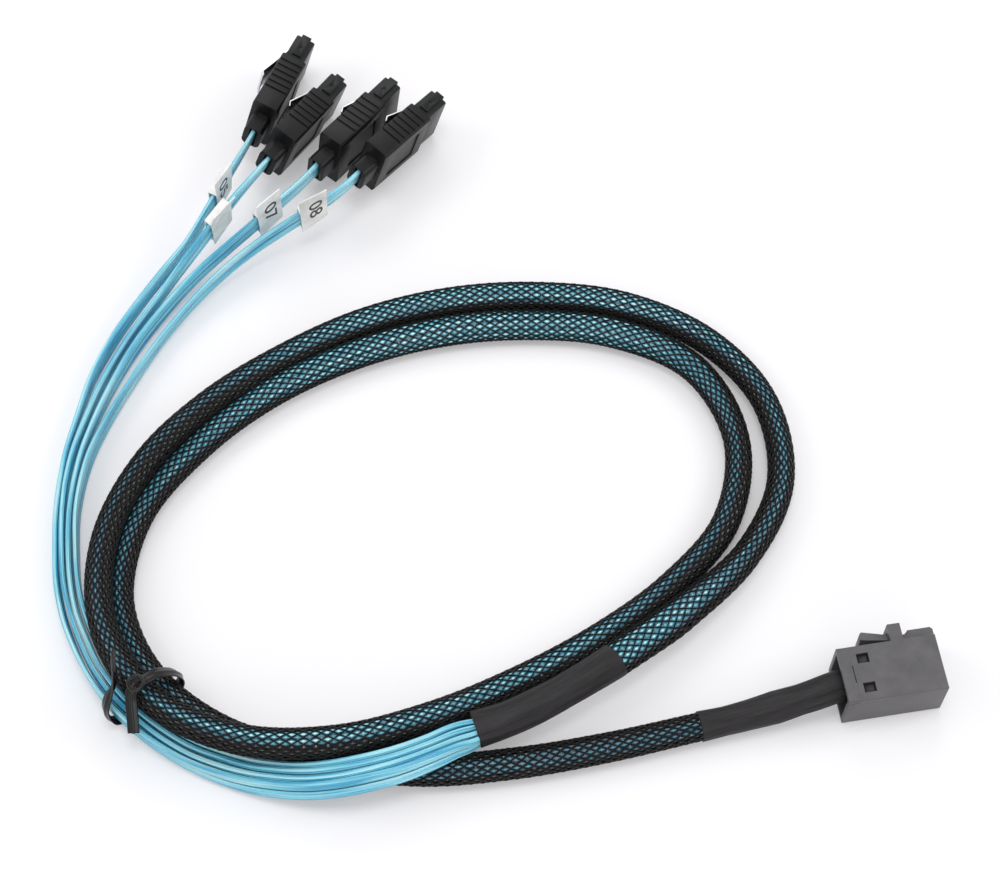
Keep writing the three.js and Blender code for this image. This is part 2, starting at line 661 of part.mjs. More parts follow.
// Contact housing: the nose with its L-shaped slot, seven contact ridges and guide rails
function driveContactHousing() {
  const tip = plugLength + gap + noseLength;
  const y0 = (plugThickness - noseThickness) / 2;
  const y1 = y0 + noseThickness;
  const z0 = (plugHeight - noseHeight) / 2;
  const z1 = z0 + noseHeight;
  const nose = pushAlongX(roundedRectangle(y0, y1, z0, z1, 0.5), plugLength + gap, tip, 2);
  const root = box(
    plugLength - noseRoot, plugLength + gap + weld,
    (plugThickness - noseRootThickness) / 2, (plugThickness + noseRootThickness) / 2,
    (plugHeight - noseRootHeight) / 2, (plugHeight + noseRootHeight) / 2,
  );
  const railY = plugThickness / 2;
  const rails = [[z0 - railHeight, z0 + 1], [z1 - 1, z1 + railHeight]].map(([low, high]) =>
    box(plugLength + gap + 0.6, tip + 0.5, railY - railWidth / 2, railY + railWidth / 2, low, high));
  const slotFloor = tip - slotDepth;
  const slotY = plugThickness / 2 - slotWidth / 2;
  const slotZ = plugHeight / 2 - slotLength / 2;
  const slot = box(slotFloor, tip + 1, slotY, slotY + slotWidth, slotZ, slotZ + slotLength);
  const key = box(slotFloor, tip + 1, slotY, slotY + slotWidth + slotKey, slotZ, slotZ + 1.3);
  const leafSeat = box(
    tip - 3.6, tip + 1, y1 - leafPocketDepth, y1 + 1,
    plugHeight / 2 - leafWidth / 2 - gap, plugHeight / 2 + leafWidth / 2 + gap,
  );
  const dimples = [z0 - railHeight, z1 + railHeight].map((face) =>
    cylinderAlongZ(plugLength + gap + 3, railY, 0.45, face - 0.15, face + 0.15, 12));
  const body = carve(nose, { add: [root, ...rails], cut: [slot, key, leafSeat, ...dimples] });
  const contacts = [];
  for (let i = 0; i < contactCount; i++) {
    const z = plugHeight / 2 + (i - (contactCount - 1) / 2) * contactPitch + 0.4;
    contacts.push(box(
      slotFloor - weld, slotFloor + contactLength, slotY - weld, slotY + contactHeight,
      z - contactWidth / 2, z + contactWidth / 2,
    ));
  }
  return carve(body, { add: contacts });
}

// Leaf spring: anchored at the nose's tip, bowed out over the over-mould
const leafLine = () => {
  const tip = plugLength + gap + noseLength;
  const face = (plugThickness + noseThickness) / 2;
  return leafProfile.map(([back, out]) => [tip - back, face + out]);
};

function driveLeaf() {
  const middle = leafLine().map(([x, y]) => new Vector2(x, y));
  const side = (sign) => middle.map((point, i) => {
    const before = middle[Math.max(0, i - 1)];
    const after = middle[Math.min(middle.length - 1, i + 1)];
    const along = after.clone().sub(before).normalize();
    return new Vector2(-along.y, along.x).multiplyScalar((sign * leafThickness) / 2).add(point);
  });
  const outline = new Shape([...side(1), ...side(-1).reverse()]);
  const leaf = pushAlongZ(outline, (plugHeight - leafWidth) / 2, (plugHeight + leafWidth) / 2);
  const [barbX, barbY] = leafLine()[3];
  const barb = (z) => box(
    barbX, barbX + 0.9, barbY - leafThickness / 2, barbY + 0.45, z - 0.6, z + 0.6,
  );
  const apart = leafWidth / 4;
  return carve(leaf, { add: [barb(plugHeight / 2 - apart), barb(plugHeight / 2 + apart)] });
}

function drivePlug(number, place) {
  const plug = new Group();
  plug.add(piece(`drive_${number}_overmould`, driveOvermould(), plugBlack));
  plug.add(piece(`drive_${number}_contact_housing`, driveContactHousing(), noseBlack));
  plug.add(piece(`drive_${number}_latch_leaf`, driveLeaf(), springSteel));
  plug.position.set(...place.at);
  const angles = [place.roll, place.pitch, place.yaw].map(THREE.MathUtils.degToRad);
  plug.rotation.set(angles[0], angles[1], angles[2], "ZYX");
  plug.updateMatrix();
  return plug;
}

// Where a lead's ribbons end, inside the pocket of the plug's stub
function leadEnd(plug) {
  const end = new Vector3(-stubLength + stubPocket - gap, plugThickness / 2, stubMiddle);
  return end.applyMatrix4(plug.matrix).toArray();
}

// A stretch of a lead whose sections stand upright instead of square to the ribbons
class UprightStretch extends Stretch {
  computeFrenetFrames(segments) {
    const frames = super.computeFrenetFrames(segments);
    const upright = new Vector3(0, 0, 1);
    frames.normals = frames.normals.map((normal, i) => {
      const across = frames.binormals[i];
      const rise = upright.clone().addScaledVector(across, -upright.dot(across)).normalize();
      return rise.divideScalar(rise.dot(normal));
    });
    return frames;
  }
}

// A label: a sleeve around both ribbons, its flag flush with the outer side, a short hem below
function label(route, { share, lean }) {
  const holeHigh = ribbonWidth + gap / 2 + labelGap;
  const holeThick = ribbonThickness / 2 + labelGap;
  const high = holeHigh + labelWall;
  const thick = holeThick + labelWall;
  const tilt = THREE.MathUtils.degToRad(lean);
  const rise = labelFlag * Math.cos(tilt);
  const sway = labelFlag * Math.sin(tilt);
  const outline = polygon([
    [-high - labelHem, thick], [high, thick], [high + rise, thick + sway],
    [high + rise, thick + sway - labelWall], [high, thick - labelWall], [high, -thick],
    [-high, -thick], [-high, thick - labelWall], [-high - labelHem, thick - labelWall],
  ].reverse());
  outline.holes.push(new Path([
    [-holeHigh, -holeThick], [holeHigh, -holeThick], [holeHigh, holeThick], [-holeHigh, holeThick],
  ].map(([x, y]) => new Vector2(x, y))));
  const half = labelLength / 2 / route.getLength();
  return runAlong(outline, new UprightStretch(route, 0, share - half, share + half), labelSteps);
}

function buildCable() {
  const cable = new Group();
  cable.position.set(-footprintCentre.x, -footprintCentre.y, 0);

  const host = new Group();
  host.add(piece("host_plug_shell", hostShell(), shellGrey));
  host.add(piece("host_wire_retainer", hostRetainer(), retainerBlack));
  cardLevels().forEach((level, i) =>
    host.add(piece(["paddle_card_lower", "paddle_card_upper"][i], paddleCard(level), boardGreen)));
  host.add(piece("host_latch", hostLatch(), shellGrey));
  host.position.copy(hostPlace);
  host.rotation.z = THREE.MathUtils.degToRad(hostYaw);
  host.updateMatrix();
  cable.add(host);

  const trunk = new GuidedRoute(trunkRoute);
  const trunkOutline = ovalOutline(trunkDiameter, trunkDiameter, trunkSides);
  cable.add(piece("braided_sleeve", runAlong(trunkOutline, trunk, trunkSteps), braidBlack));
  const beyond = (share, reach) =>
    trunk.getPointAt(share).addScaledVector(trunk.getTangentAt(share), reach).toArray();

  const mouth = [0, hostBandLength + hostSlitWidth - gap].map((x) =>
    new Vector3(x, hostWidth / 2, hostHeight / 2).applyMatrix4(host.matrix).toArray());
  const hostShrink = new GuidedRoute([beyond(0, -sleeveGap), ...hostShrinkRoute, ...mouth]);
  cable.add(piece("host_heat_shrink", sleeve(hostShrink, hostShrinkWide, hostShrinkHigh, 20), shrinkBlack));

  const breakout = new GuidedRoute([beyond(1, sleeveGap), ...breakoutRoute]);
  cable.add(piece("breakout_heat_shrink", sleeve(breakout, breakoutWide, breakoutHigh, 16), shrinkBlack));

  const ribbon = ribbonOutline(ribbonWidth, ribbonThickness);
  const lift = (ribbonWidth + gap) / 2;
  drivePlaces.forEach((place, i) => {
    const number = i + 1;
    const plug = drivePlug(number, place);
    const up = new Vector3().setFromMatrixColumn(plug.matrix, 2);
    const turning = [[ribbonTurnStart, new Vector3(0, 0, 1)], [1, up]];
    const lead = new GuidedRoute([...leadRoutes[i], leadEnd(plug)], turning);
    for (const [side, level] of [["lower", -lift], ["upper", lift]]) {
      const route = new Stretch(lead, level);
      cable.add(piece(`drive_${number}_ribbon_${side}`, runAlong(ribbon, route, ribbonSteps), ribbonBlue));
    }
    cable.add(piece(`drive_${number}_label`, label(lead, labelPlaces[i]), labelWhite));
    cable.add(plug);
  });

  const tiePoints = tieRoute.map(([out, up, along]) => tieOrigin.clone()
    .addScaledVector(tieOut, out)
    .addScaledVector(tieAlong, along)
    .setZ(up)
    .toArray());
  const tie = new GuidedRoute(tiePoints, tieGuides);
  cable.add(piece("twist_tie", runAlong(ribbonOutline(tieWidth, tieThickness), tie, tieSteps), tieBlack));
  return cable;
}

const part = new Group();
part.add(buildCable());

export default part;
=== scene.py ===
import json
import math
import bpy
import numpy as np
from mathutils import Matrix, Vector
from mathutils.bvhtree import BVHTree

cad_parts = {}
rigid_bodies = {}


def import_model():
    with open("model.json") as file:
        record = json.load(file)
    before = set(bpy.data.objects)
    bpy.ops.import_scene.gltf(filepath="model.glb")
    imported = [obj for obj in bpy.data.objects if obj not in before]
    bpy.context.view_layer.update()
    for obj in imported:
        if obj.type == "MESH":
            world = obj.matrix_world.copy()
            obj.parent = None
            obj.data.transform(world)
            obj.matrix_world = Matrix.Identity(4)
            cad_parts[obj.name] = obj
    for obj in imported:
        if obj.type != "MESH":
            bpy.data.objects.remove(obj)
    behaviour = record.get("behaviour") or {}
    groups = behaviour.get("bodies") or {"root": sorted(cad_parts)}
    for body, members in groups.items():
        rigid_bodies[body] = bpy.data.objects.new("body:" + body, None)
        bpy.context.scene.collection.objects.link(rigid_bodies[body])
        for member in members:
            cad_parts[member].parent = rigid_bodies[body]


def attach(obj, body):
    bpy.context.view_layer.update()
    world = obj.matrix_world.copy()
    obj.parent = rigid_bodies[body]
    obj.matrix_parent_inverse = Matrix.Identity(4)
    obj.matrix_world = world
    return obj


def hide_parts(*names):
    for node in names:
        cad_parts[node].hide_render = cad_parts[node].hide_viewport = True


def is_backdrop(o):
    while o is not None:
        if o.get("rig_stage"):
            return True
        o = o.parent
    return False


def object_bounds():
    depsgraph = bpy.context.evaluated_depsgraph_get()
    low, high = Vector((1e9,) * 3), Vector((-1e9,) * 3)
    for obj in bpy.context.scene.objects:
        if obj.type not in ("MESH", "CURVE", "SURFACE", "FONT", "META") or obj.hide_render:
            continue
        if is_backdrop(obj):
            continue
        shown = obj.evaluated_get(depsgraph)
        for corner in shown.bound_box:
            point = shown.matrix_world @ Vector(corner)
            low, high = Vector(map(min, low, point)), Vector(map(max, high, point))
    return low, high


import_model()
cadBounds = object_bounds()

scene = bpy.context.scene
scene.view_settings.view_transform = "Standard"
mm = 0.001
footprintCentre = np.array([4.72, 12.98, 0.0])  # the part's origin, in the layout's own millimetres


def toFrame(points):
    return (np.array(points, dtype=float) - footprintCentre) * mm


# Camera
print("camera")
photoCamera = {"location": (-4.72, -238.74, 430.0), "tilt": 27.7, "lens": 80.35, "sensor": 36, "near": 10}
cameraData = bpy.data.cameras.new("photoCamera")
cameraData.lens = photoCamera["lens"]
cameraData.sensor_width = photoCamera["sensor"]
cameraData.clip_start = photoCamera["near"] * mm
camera = bpy.data.objects.new("photoCamera", cameraData)
camera.location = [v * mm for v in photoCamera["location"]]
camera.rotation_euler = (math.radians(photoCamera["tilt"]), 0, 0)
scene.collection.objects.link(camera)
scene.camera = camera


# Smooth routes
def smoothRoute(points, perSpan=30):
    p = np.vstack([2 * points[0] - points[1], points, 2 * points[-1] - points[-2]])
    out = []
    for i in range(len(p) - 3):
        p0, p1, p2, p3 = p[i:i + 4]
        d0, d1, d2 = (np.sqrt(np.linalg.norm(b - a)) for a, b in ((p0, p1), (p1, p2), (p2, p3)))
        t1 = ((p1 - p0) / d0 - (p2 - p0) / (d0 + d1) + (p2 - p1) / d1) * d1
        t2 = ((p2 - p1) / d1 - (p3 - p1) / (d1 + d2) + (p3 - p2) / d2) * d1
        t = np.linspace(0, 1, perSpan, endpoint=False)[:, None]
        out.append((2 * t**3 - 3 * t**2 + 1) * p1 + (t**3 - 2 * t**2 + t) * t1
                   + (3 * t**2 - 2 * t**3) * p2 + (t**3 - t**2) * t2)
    out.append(points[-1:])
    return np.vstack(out)


def evenSteps(points, step):
    dense = smoothRoute(points)
    along = np.concatenate([[0], np.cumsum(np.linalg.norm(np.diff(dense, axis=0), axis=1))])
    count = max(2, int(round(along[-1] / step)) + 1)
    s = np.linspace(0, along[-1], count)
    return np.stack([np.interp(s, along, dense[:, k]) for k in range(3)], axis=1), s


def unit(v):
    return v / np.linalg.norm(v, axis=-1, keepdims=True)


# guides hold the share of the route and the direction there, tilt the degrees towards side at each point
def frameAlong(centres, guides=((0, (0, 0, 1)),), tilt=None):
    tangent = unit(np.gradient(centres, axis=0))
    share = np.linspace(0, 1, len(centres))
    lean = np.tile(np.array(guides[0][1], dtype=float), (len(centres), 1))
    for (begin, first), (end, second) in zip(guides, guides[1:]):
        turn = np.clip((share - begin) / (end - begin), 0, 1)
        turn = (turn * turn * (3 - 2 * turn))[:, None]
        between = np.array(first) * (1 - turn) + np.array(second) * turn
        lean = np.where(share[:, None] >= begin, between, lean)
    up = unit(lean - tangent * np.sum(lean * tangent, axis=1, keepdims=True))
    side = np.cross(tangent, up)
    if tilt is not None:
        angle = np.radians(tilt)[:, None]
        up, side = up * np.cos(angle) + side * np.sin(angle), side * np.cos(angle) - up * np.sin(angle)
    return tangent, up, side


# Mesh making
class Loft:
    def __init__(self):
        self.points, self.faces, self.uvs, self.count = [], [], [], 0

    def sweep(self, centres, up, side, outline, along, caps=True):
        # outline holds how far each point lies along up and along side
        rows, around = len(centres), outline.shape[-2]
        outline = np.broadcast_to(outline, (rows, around, 2))
        ring = (centres[:, None] + up[:, None] * outline[..., :1] + side[:, None] * outline[..., 1:])
        self.points.append(ring.reshape(-1, 3))
        i, k = np.meshgrid(np.arange(rows - 1), np.arange(around), indexing="ij")
        n = (k + 1) % around
        base = self.count
        quads = np.stack([i * around + k, i * around + n, (i + 1) * around + n, (i + 1) * around + k], -1)
        self.faces.append((base + quads.reshape(-1, 4)).tolist())
        u0, u1 = k / around, (k + 1) / around
        v0, v1 = along[i], along[i + 1]
        uv = np.stack([np.stack([u0, v0], -1), np.stack([u1, v0], -1),
                       np.stack([u1, v1], -1), np.stack([u0, v1], -1)], 2)
        self.uvs.append(uv.reshape(-1, 2))
        if caps:
            first = list(range(base + around - 1, base - 1, -1))
            last = list(range(base + (rows - 1) * around, base + rows * around))
            self.faces.append([first, last])
            self.uvs.append(np.full((2 * around, 2), 0.5))
        self.count += rows * around

    def piece(self, name):
        mesh = bpy.data.meshes.new(name)
        faces = [f for group in self.faces for f in group]
        mesh.from_pydata(np.vstack(self.points), [], faces)
        layer = mesh.uv_layers.new(name="UVMap")
        layer.data.foreach_set("uv", np.vstack(self.uvs).ravel())
        mesh.polygons.foreach_set("use_smooth", [True] * len(faces))
        mesh.update()
        obj = bpy.data.objects.new(name, mesh)
        scene.collection.objects.link(obj)
        return obj


def finish(obj, body, material, slotName, *nodes):
    obj.data.materials.clear()
    for m in material if isinstance(material, (list, tuple)) else [material]:
        obj.data.materials.append(m)
    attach(obj, body)
    if nodes:
        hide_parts(*nodes)
    return obj


def circle(diameter, around):
    angle = np.arange(around) * 2 * np.pi / around
    return diameter / 2 * np.stack([np.cos(angle), np.sin(angle)], -1)


# Materials
def shaderMaterial(name, color, roughness, metallic=0.0, specular=0.5, coat=0.0):
    material = bpy.data.materials.new(name)
    material.use_nodes = True
    shader = material.node_tree.nodes["Principled BSDF"]
    shader.inputs["Base Color"].default_value = (*color, 1)
    shader.inputs["Roughness"].default_value = roughness
    shader.inputs["Metallic"].default_value = metallic
    shader.inputs["Specular IOR Level"].default_value = specular
    shader.inputs["Coat Weight"].default_value = coat
    shader.inputs["Coat Roughness"].default_value = 0.2
    return material, material.node_tree, shader


def addNode(tree, kind, **values):
    node = tree.nodes.new(kind)
    for key, value in values.items():
        if key in node.inputs:
            node.inputs[key].default_value = value
        else:
            setattr(node, key, value)
    return node


# One calculation on numbers or on outputs of other nodes
def calculate(tree, operation, *values):
    node = addNode(tree, "ShaderNodeMath", operation=operation)
    for socket, value in zip(node.inputs, values):
        if isinstance(value, (int, float)):
            socket.default_value = value
        else:
            tree.links.new(value, socket)
    return node.outputs["Value"]


# Colours by position, first and last given at the ends of the list
def addRamp(tree, source, target, stops):
    ramp = addNode(tree, "ShaderNodeValToRGB")
    elements = ramp.color_ramp.elements
    for element, (position, color) in zip(list(elements), (stops[0], stops[-1])):
        element.position = position
        element.color = (*color, 1)
    for position, color in stops[1:-1]:
        elements.new(position).color = (*color, 1)
    tree.links.new(source, ramp.inputs["Fac"])
    tree.links.new(ramp.outputs["Color"], target)


def addBump(tree, shader, height, strength, distance):
    bump = addNode(tree, "ShaderNodeBump", Strength=strength, Distance=distance * mm)
    tree.links.new(height, bump.inputs["Height"])
    tree.links.new(bump.outputs["Normal"], shader.inputs["Normal"])


def cloudNoise(tree, scale, **values):
    place = addNode(tree, "ShaderNodeTexCoord")
    noise = addNode(tree, "ShaderNodeTexNoise", Scale=scale, **values)
    tree.links.new(place.outputs["Object"], noise.inputs["Vector"])
    return noise.outputs["Fac"]


# Cloudy colour and gloss
def addMottle(tree, shader, dark, light, scale, roughLow, roughHigh):
    noise = cloudNoise(tree, scale, Detail=4, Roughness=0.6)
    addRamp(tree, noise, shader.inputs["Base Color"], [(0.3, dark), (0.7, light)])
    gloss = addNode(tree, "ShaderNodeMapRange")
    gloss.inputs["To Min"].default_value = roughLow
    gloss.inputs["To Max"].default_value = roughHigh
    tree.links.new(noise, gloss.inputs["Value"])
    tree.links.new(gloss.outputs["Result"], shader.inputs["Roughness"])


# Fine moulding grain, its depth in millimetres
def addGrain(tree, shader, scale, depth):
    addBump(tree, shader, cloudNoise(tree, scale, Detail=3), 0.5, depth)


# Noise drawn out along a swept piece
def addStreaks(tree, across, along, detail, roughness):
    place = addNode(tree, "ShaderNodeUVMap")
    stretch = addNode(tree, "ShaderNodeMapping")
    stretch.inputs["Scale"].default_value = (across, along, 1)
    streaks = addNode(tree, "ShaderNodeTexNoise", Scale=1.0, Detail=detail, Roughness=roughness)
    tree.links.new(place.outputs["UV"], stretch.inputs["Vector"])
    tree.links.new(stretch.outputs["Vector"], streaks.inputs["Vector"])
    return streaks.outputs["Fac"]


# Where a point lies round a swept piece, in turns, and along it, in metres
def sweptPlace(tree):
    split = addNode(tree, "ShaderNodeSeparateXYZ")
    tree.links.new(addNode(tree, "ShaderNodeUVMap").outputs["UV"], split.inputs["Vector"])
    return split.outputs["X"], split.outputs["Y"]


# Ridges that run along a swept piece
def addRidges(tree, shader, count, strength, depth):
    turned = calculate(tree, "MULTIPLY", sweptPlace(tree)[0], 2 * math.pi * count)
    addBump(tree, shader, calculate(tree, "SINE", turned), strength, depth)


mottle = {"dark": 0.82, "light": 1.16, "scale": 260}


def mouldedPlastic(name, color, roughLow, roughHigh, grain, grainScale, specular=0.5):
    material, tree, shader = shaderMaterial(name, color, roughLow, specular=specular)
    dark = [c * mottle["dark"] for c in color]
    light = [min(1, c * mottle["light"]) for c in color]
    addMottle(tree, shader, dark, light, mottle["scale"], roughLow, roughHigh)
    addGrain(tree, shader, grainScale, grain)
    return material


shellPlastic = mouldedPlastic("shellPlastic", (0.1, 0.096, 0.102), 0.36, 0.52, 0.03, 5200, 0.35)
retainerPlastic = mouldedPlastic("retainerPlastic", (0.02, 0.019, 0.022), 0.4, 0.6, 0.015, 4200, 0.35)
plugRubber = mouldedPlastic("plugRubber", (0.0075, 0.007, 0.0075), 0.28, 0.42, 0.03, 3800, 0.2)
housingPlastic = mouldedPlastic("housingPlastic", (0.007, 0.009, 0.009), 0.24, 0.38, 0.02, 4600, 0.22)
boardGreen = mouldedPlastic("boardGreen", (0.012, 0.075, 0.034), 0.25, 0.38, 0.006, 2600)
labelStock = mouldedPlastic("labelStock", (0.86, 0.86, 0.84), 0.42, 0.55, 0.006, 3000)

padGold, tree, shader = shaderMaterial("padGold", (0.83, 0.6, 0.24), 0.25, metallic=1.0)
addGrain(tree, shader, 5000, 0.004)

springSteel, tree, shader = shaderMaterial("springSteel", (0.66, 0.66, 0.67), 0.28, metallic=1.0)
addMottle(tree, shader, (0.56, 0.56, 0.57), (0.74, 0.74, 0.75), 900, 0.2, 0.4)
addGrain(tree, shader, 6000, 0.004)

inkBlack, tree, shader = shaderMaterial("inkBlack", (0.035, 0.034, 0.036), 0.5)
addGrain(tree, shader, 5000, 0.004)

tiePlastic, tree, shader = shaderMaterial("tiePlastic", (0.006, 0.006, 0.006), 0.2, specular=0.22, coat=0.1)
addMottle(tree, shader, (0.005, 0.005, 0.005), (0.01, 0.0095, 0.0095), 700, 0.16, 0.32)
addGrain(tree, shader, 2200, 0.02)


# Streaks set both the colour and the wrinkles; the clouds keep the gloss
shrinkBlack, tree, shader = shaderMaterial("shrinkBlack", (0.016, 0.0145, 0.0155), 0.5, specular=0.2)
addMottle(tree, shader, (0.007, 0.0065, 0.007), (0.034, 0.031, 0.034), 500, 0.4, 0.6)
streaks = addStreaks(tree, 17, 60, detail=5, roughness=0.65)
addBump(tree, shader, streaks, 0.9, 0.22)
ramp = shader.inputs["Base Color"].links[0].from_node
tree.links.new(streaks, ramp.inputs["Fac"])

ribbonBlue, tree, shader = shaderMaterial("ribbonBlue", (0.16, 0.6, 0.79), 0.24, coat=0.35)
# painted light and shade: the streaks along each ribbon run from shaded blue to lit blue
streaks = addStreaks(tree, 4.5, 42, detail=3, roughness=0.5)
addRamp(tree, streaks, shader.inputs["Base Color"],
        [(0.37, (0.06, 0.43, 0.69)), (0.5, (0.22, 0.68, 0.85)), (0.64, (0.45, 0.84, 0.93))])
addRidges(tree, shader, 10, 0.7, 0.09)  # over the wires

strandBlack, tree, shader = shaderMaterial("strandBlack", (0.006, 0.006, 0.007), 0.3, specular=0.16)
addMottle(tree, shader, (0.004, 0.0045, 0.005), (0.013, 0.012, 0.0115), 420, 0.22, 0.42)
addRidges(tree, shader, 8, 0.6, 0.05)  # filaments

# strands in each direction, millimetres along the trunk for one turn
braid = {"strands": 13, "turn": 30.0}


# Height of the ribbons' surface in each cell of the braid, 0 under the strands and 1 in the middle
def cellHeight(tree):
    fullTurn = 2 * math.pi * braid["strands"]
    turns, length = sweptPlace(tree)
    around = calculate(tree, "MULTIPLY_ADD", turns, -fullTurn, fullTurn / 4)
    forward = calculate(tree, "MULTIPLY", length, fullTurn / (braid["turn"] * mm))
    heights = []
    for operation in ("SUBTRACT", "ADD"):  # the strands that wind right, then those that wind left
        wave = calculate(tree, "COSINE", calculate(tree, operation, around, forward))
        heights.append(calculate(tree, "MULTIPLY_ADD", wave, -0.5, 0.5))
    return calculate(tree, "MULTIPLY", *heights)


coreTeal, tree, shader = shaderMaterial("coreTeal", (0.05, 0.3, 0.42), 0.16, specular=0.6, coat=0.4)
cell = cellHeight(tree)
tone = addNode(tree, "ShaderNodeAttribute", attribute_name="paintedLight")
# painted highlight: the middle of each cell of the braid is brightened
cellHighlight = calculate(tree, "MULTIPLY_ADD", cell, 0.62, 0.6)  # cells are brightest in the middle
bright = calculate(tree, "MULTIPLY", tone.outputs["Fac"], cellHighlight)
# the ramp runs from near-black painted shade to a near-white painted highlight
addRamp(tree, bright, shader.inputs["Base Color"], [
    (0.06, (0.003, 0.0045, 0.006)), (0.3, (0.008, 0.055, 0.1)), (0.6, (0.035, 0.22, 0.31)),
    (0.8, (0.12, 0.5, 0.6)), (1.0, (0.62, 0.95, 0.96)),
])
addBump(tree, shader, cell, 1.0, 0.22)


# Routes, in millimetres. They are the solids' own, but for two trunk points, (-65.1, -3.9) and (-50.4, 9),
# which are moved by under 1 mm to close a gap between the two passes of the coil
trunkRoute = [
    (41.5, -67.5, 3.3), (22.5, -72, 3.2), (3, -75.5, 3.2), (-17, -77, 3.2),
    (-36.5, -74, 3.2), (-55.5, -69, 3.3), (-71, -57.5, 4.55), (-79, -40, 3.2),
    (-76.5, -20.5, 3.2), (-65.1, -3.9, 3.2), (-50.4, 9, 3.2), (-33, 18.5, 3.2),
    (-14, 24.5, 3.2), (5.5, 26.5, 3.2), (25, 24.5, 3.2), (42.5, 15.5, 3.2),
    (51, -2, 3.2), (48, -21.5, 3.2), (36, -36.5, 3.2), (20.5, -48.5, 3.2),
    (3, -58.5, 3.3), (-14.5, -67, 5.9), (-33, -73, 9.2), (-52.5, -72.5, 9.4),
    (-70, -64, 9), (-81, -48, 8.6), (-82.5, -28.5, 7.9), (-75.5, -10, 7.3),
    (-63.5, 5, 5.4), (-48, 17.5, 3.6), (-30.5, 27, 3.2), (-11.5, 32.5, 3.2),
    (8, 34, 3.2), (27.5, 31.5, 3.2), (45.5, 22.5, 3.2), (57.5, 7.5, 3.2),
    (60, -12, 3.2), (52, -29.5, 3.9), (38, -43.5, 5.5), (22.5, -55.5, 7),
]
hostShrinkRoute = [(48, -66, 3.5), (55.5, -64, 4.1), (63, -61.9, 5.1)]
breakoutRoute = [(15.4, -60.1, 7.1), (8.4, -64.2, 7.1), (1.4, -67.5, 6.9), (-4.9, -69.7, 6.8)]
leadRoutes = [
    [
        (-5.6, -73.2, 7.2), (-8.3, -74.6, 8.3), (-13, -77.1, 9.1), (-19.1, -79.6, 9),
        (-25.2, -81.3, 8.9), (-31.5, -82.3, 8), (-37.9, -82.3, 6.2), (-44.2, -81.4, 4.4),
        (-50.6, -80, 3.2), (-56.9, -78, 2.8), (-63.3, -75.3, 3.1), (-69.8, -71.5, 3.7),
        (-75.3, -67.2, 4.1), (-79.9, -62.6, 4), (-84.1, -56.9, 3.4), (-87.8, -50.1, 2.8),
        (-90.5, -43.7, 2.5), (-92.5, -36.5, 2.4), (-93.6, -28.3, 2.4), (-94.3, -18.8, 2.4),
        (-93.7, -6.7, 2.4), (-91.9, 2.5, 2.4), (-89.5, 13, 2.4), (-85.4, 23, 2.6),
        (-79.6, 32.7, 3.6), (-75.4, 38.4, 5), (-70.4, 44.5, 7), (-66.7, 50.3, 9.2),
        (-63.9, 55.4, 10.8), (-61.4, 60.8, 11.2), (-58.8, 67, 10.7),
    ],
    [
        (-6.2, -71.9, 7.1), (-9, -73.3, 7.8), (-13.6, -75.8, 8.7), (-19.6, -78.2, 8.9),
        (-25.5, -79.9, 8.9), (-31.6, -80.9, 8), (-37.8, -80.9, 6.2), (-44, -80, 4.4),
        (-50.2, -78.6, 3.2), (-56.4, -76.6, 2.8), (-62.7, -74, 3.1), (-69, -70.3, 3.7),
        (-74.3, -66.1, 4.1), (-78.8, -61.7, 4), (-82.9, -56.1, 3.4), (-86.5, -49.4, 2.8),
        (-89.1, -43.2, 2.5), (-91.1, -36.2, 2.4), (-92.2, -28.1, 2.4), (-92.8, -18.7, 2.4),
        (-92.1, -7, 2.4), (-90, 2.3, 2.4), (-86.9, 12.5, 2.4), (-82.3, 22.8, 2.6),
        (-76.3, 32.5, 3.6), (-72.5, 38, 5.2), (-67.8, 43.6, 8), (-63.6, 48.2, 10.8),
        (-59.6, 53, 13), (-55.7, 58.4, 13.6),
    ],
    [
        (-6.8, -70.6, 7.1), (-9.7, -72, 7.7), (-14.2, -74.5, 8.4), (-20, -76.9, 8.9),
        (-25.8, -78.5, 8.9), (-31.7, -79.4, 8), (-37.7, -79.4, 6.2), (-43.7, -78.6, 4.4),
        (-49.8, -77.3, 3.2), (-55.9, -75.2, 2.8), (-62, -72.7, 3.1), (-68.1, -69.1, 3.7),
        (-73.4, -65, 4.1), (-77.7, -60.7, 4), (-81.6, -55.4, 3.4), (-85.1, -48.8, 2.8),
        (-87.8, -42.7, 2.5), (-89.6, -36, 2.4), (-90.8, -28, 2.4), (-91.4, -18.6, 2.4),
        (-90.5, -7.2, 2.4), (-88.1, 2, 2.4), (-84.4, 12.5, 2.4), (-79.5, 22.8, 2.6),
        (-72.9, 32.6, 3.4), (-67.1, 39.1, 4.8), (-61, 44.4, 6.8), (-54.9, 49.2, 9),
        (-49.7, 53.7, 10.6), (-45.1, 58.5, 10.9),
    ],
    [
        (-7.4, -69.3, 7.1), (-10.4, -70.7, 7.7), (-14.9, -73.2, 8.4), (-20.5, -75.5, 8.9),
        (-26.1, -77.1, 8.9), (-31.8, -78, 8), (-37.6, -78, 6.2), (-43.5, -77.2, 4.4),
        (-49.4, -75.9, 3.2), (-55.4, -73.9, 2.8), (-61.4, -71.5, 3.1), (-67.3, -67.9, 3.7),
        (-72.4, -63.9, 4.1), (-76.6, -59.8, 4), (-80.4, -54.6, 3.4), (-83.8, -48.2, 2.8),
        (-86.4, -42.2, 2.5), (-88.2, -35.7, 2.4), (-89.3, -27.8, 2.4), (-89.9, -18.5, 2.4),
        (-88.6, -7.5, 2.4), (-85.5, 1.8, 2.4), (-80.7, 12.2, 2.4), (-75.2, 22.5, 2.6),
        (-68.4, 32.1, 3.4), (-61.8, 39.1, 4.8), (-54.7, 44.5, 7), (-47.9, 48.2, 9.6),
        (-41.5, 51.3, 12), (-35.8, 55.6, 12.8),
    ],
]
hostPlace = {"at": (69.65, -65.87, 0), "yaw": 9.2}
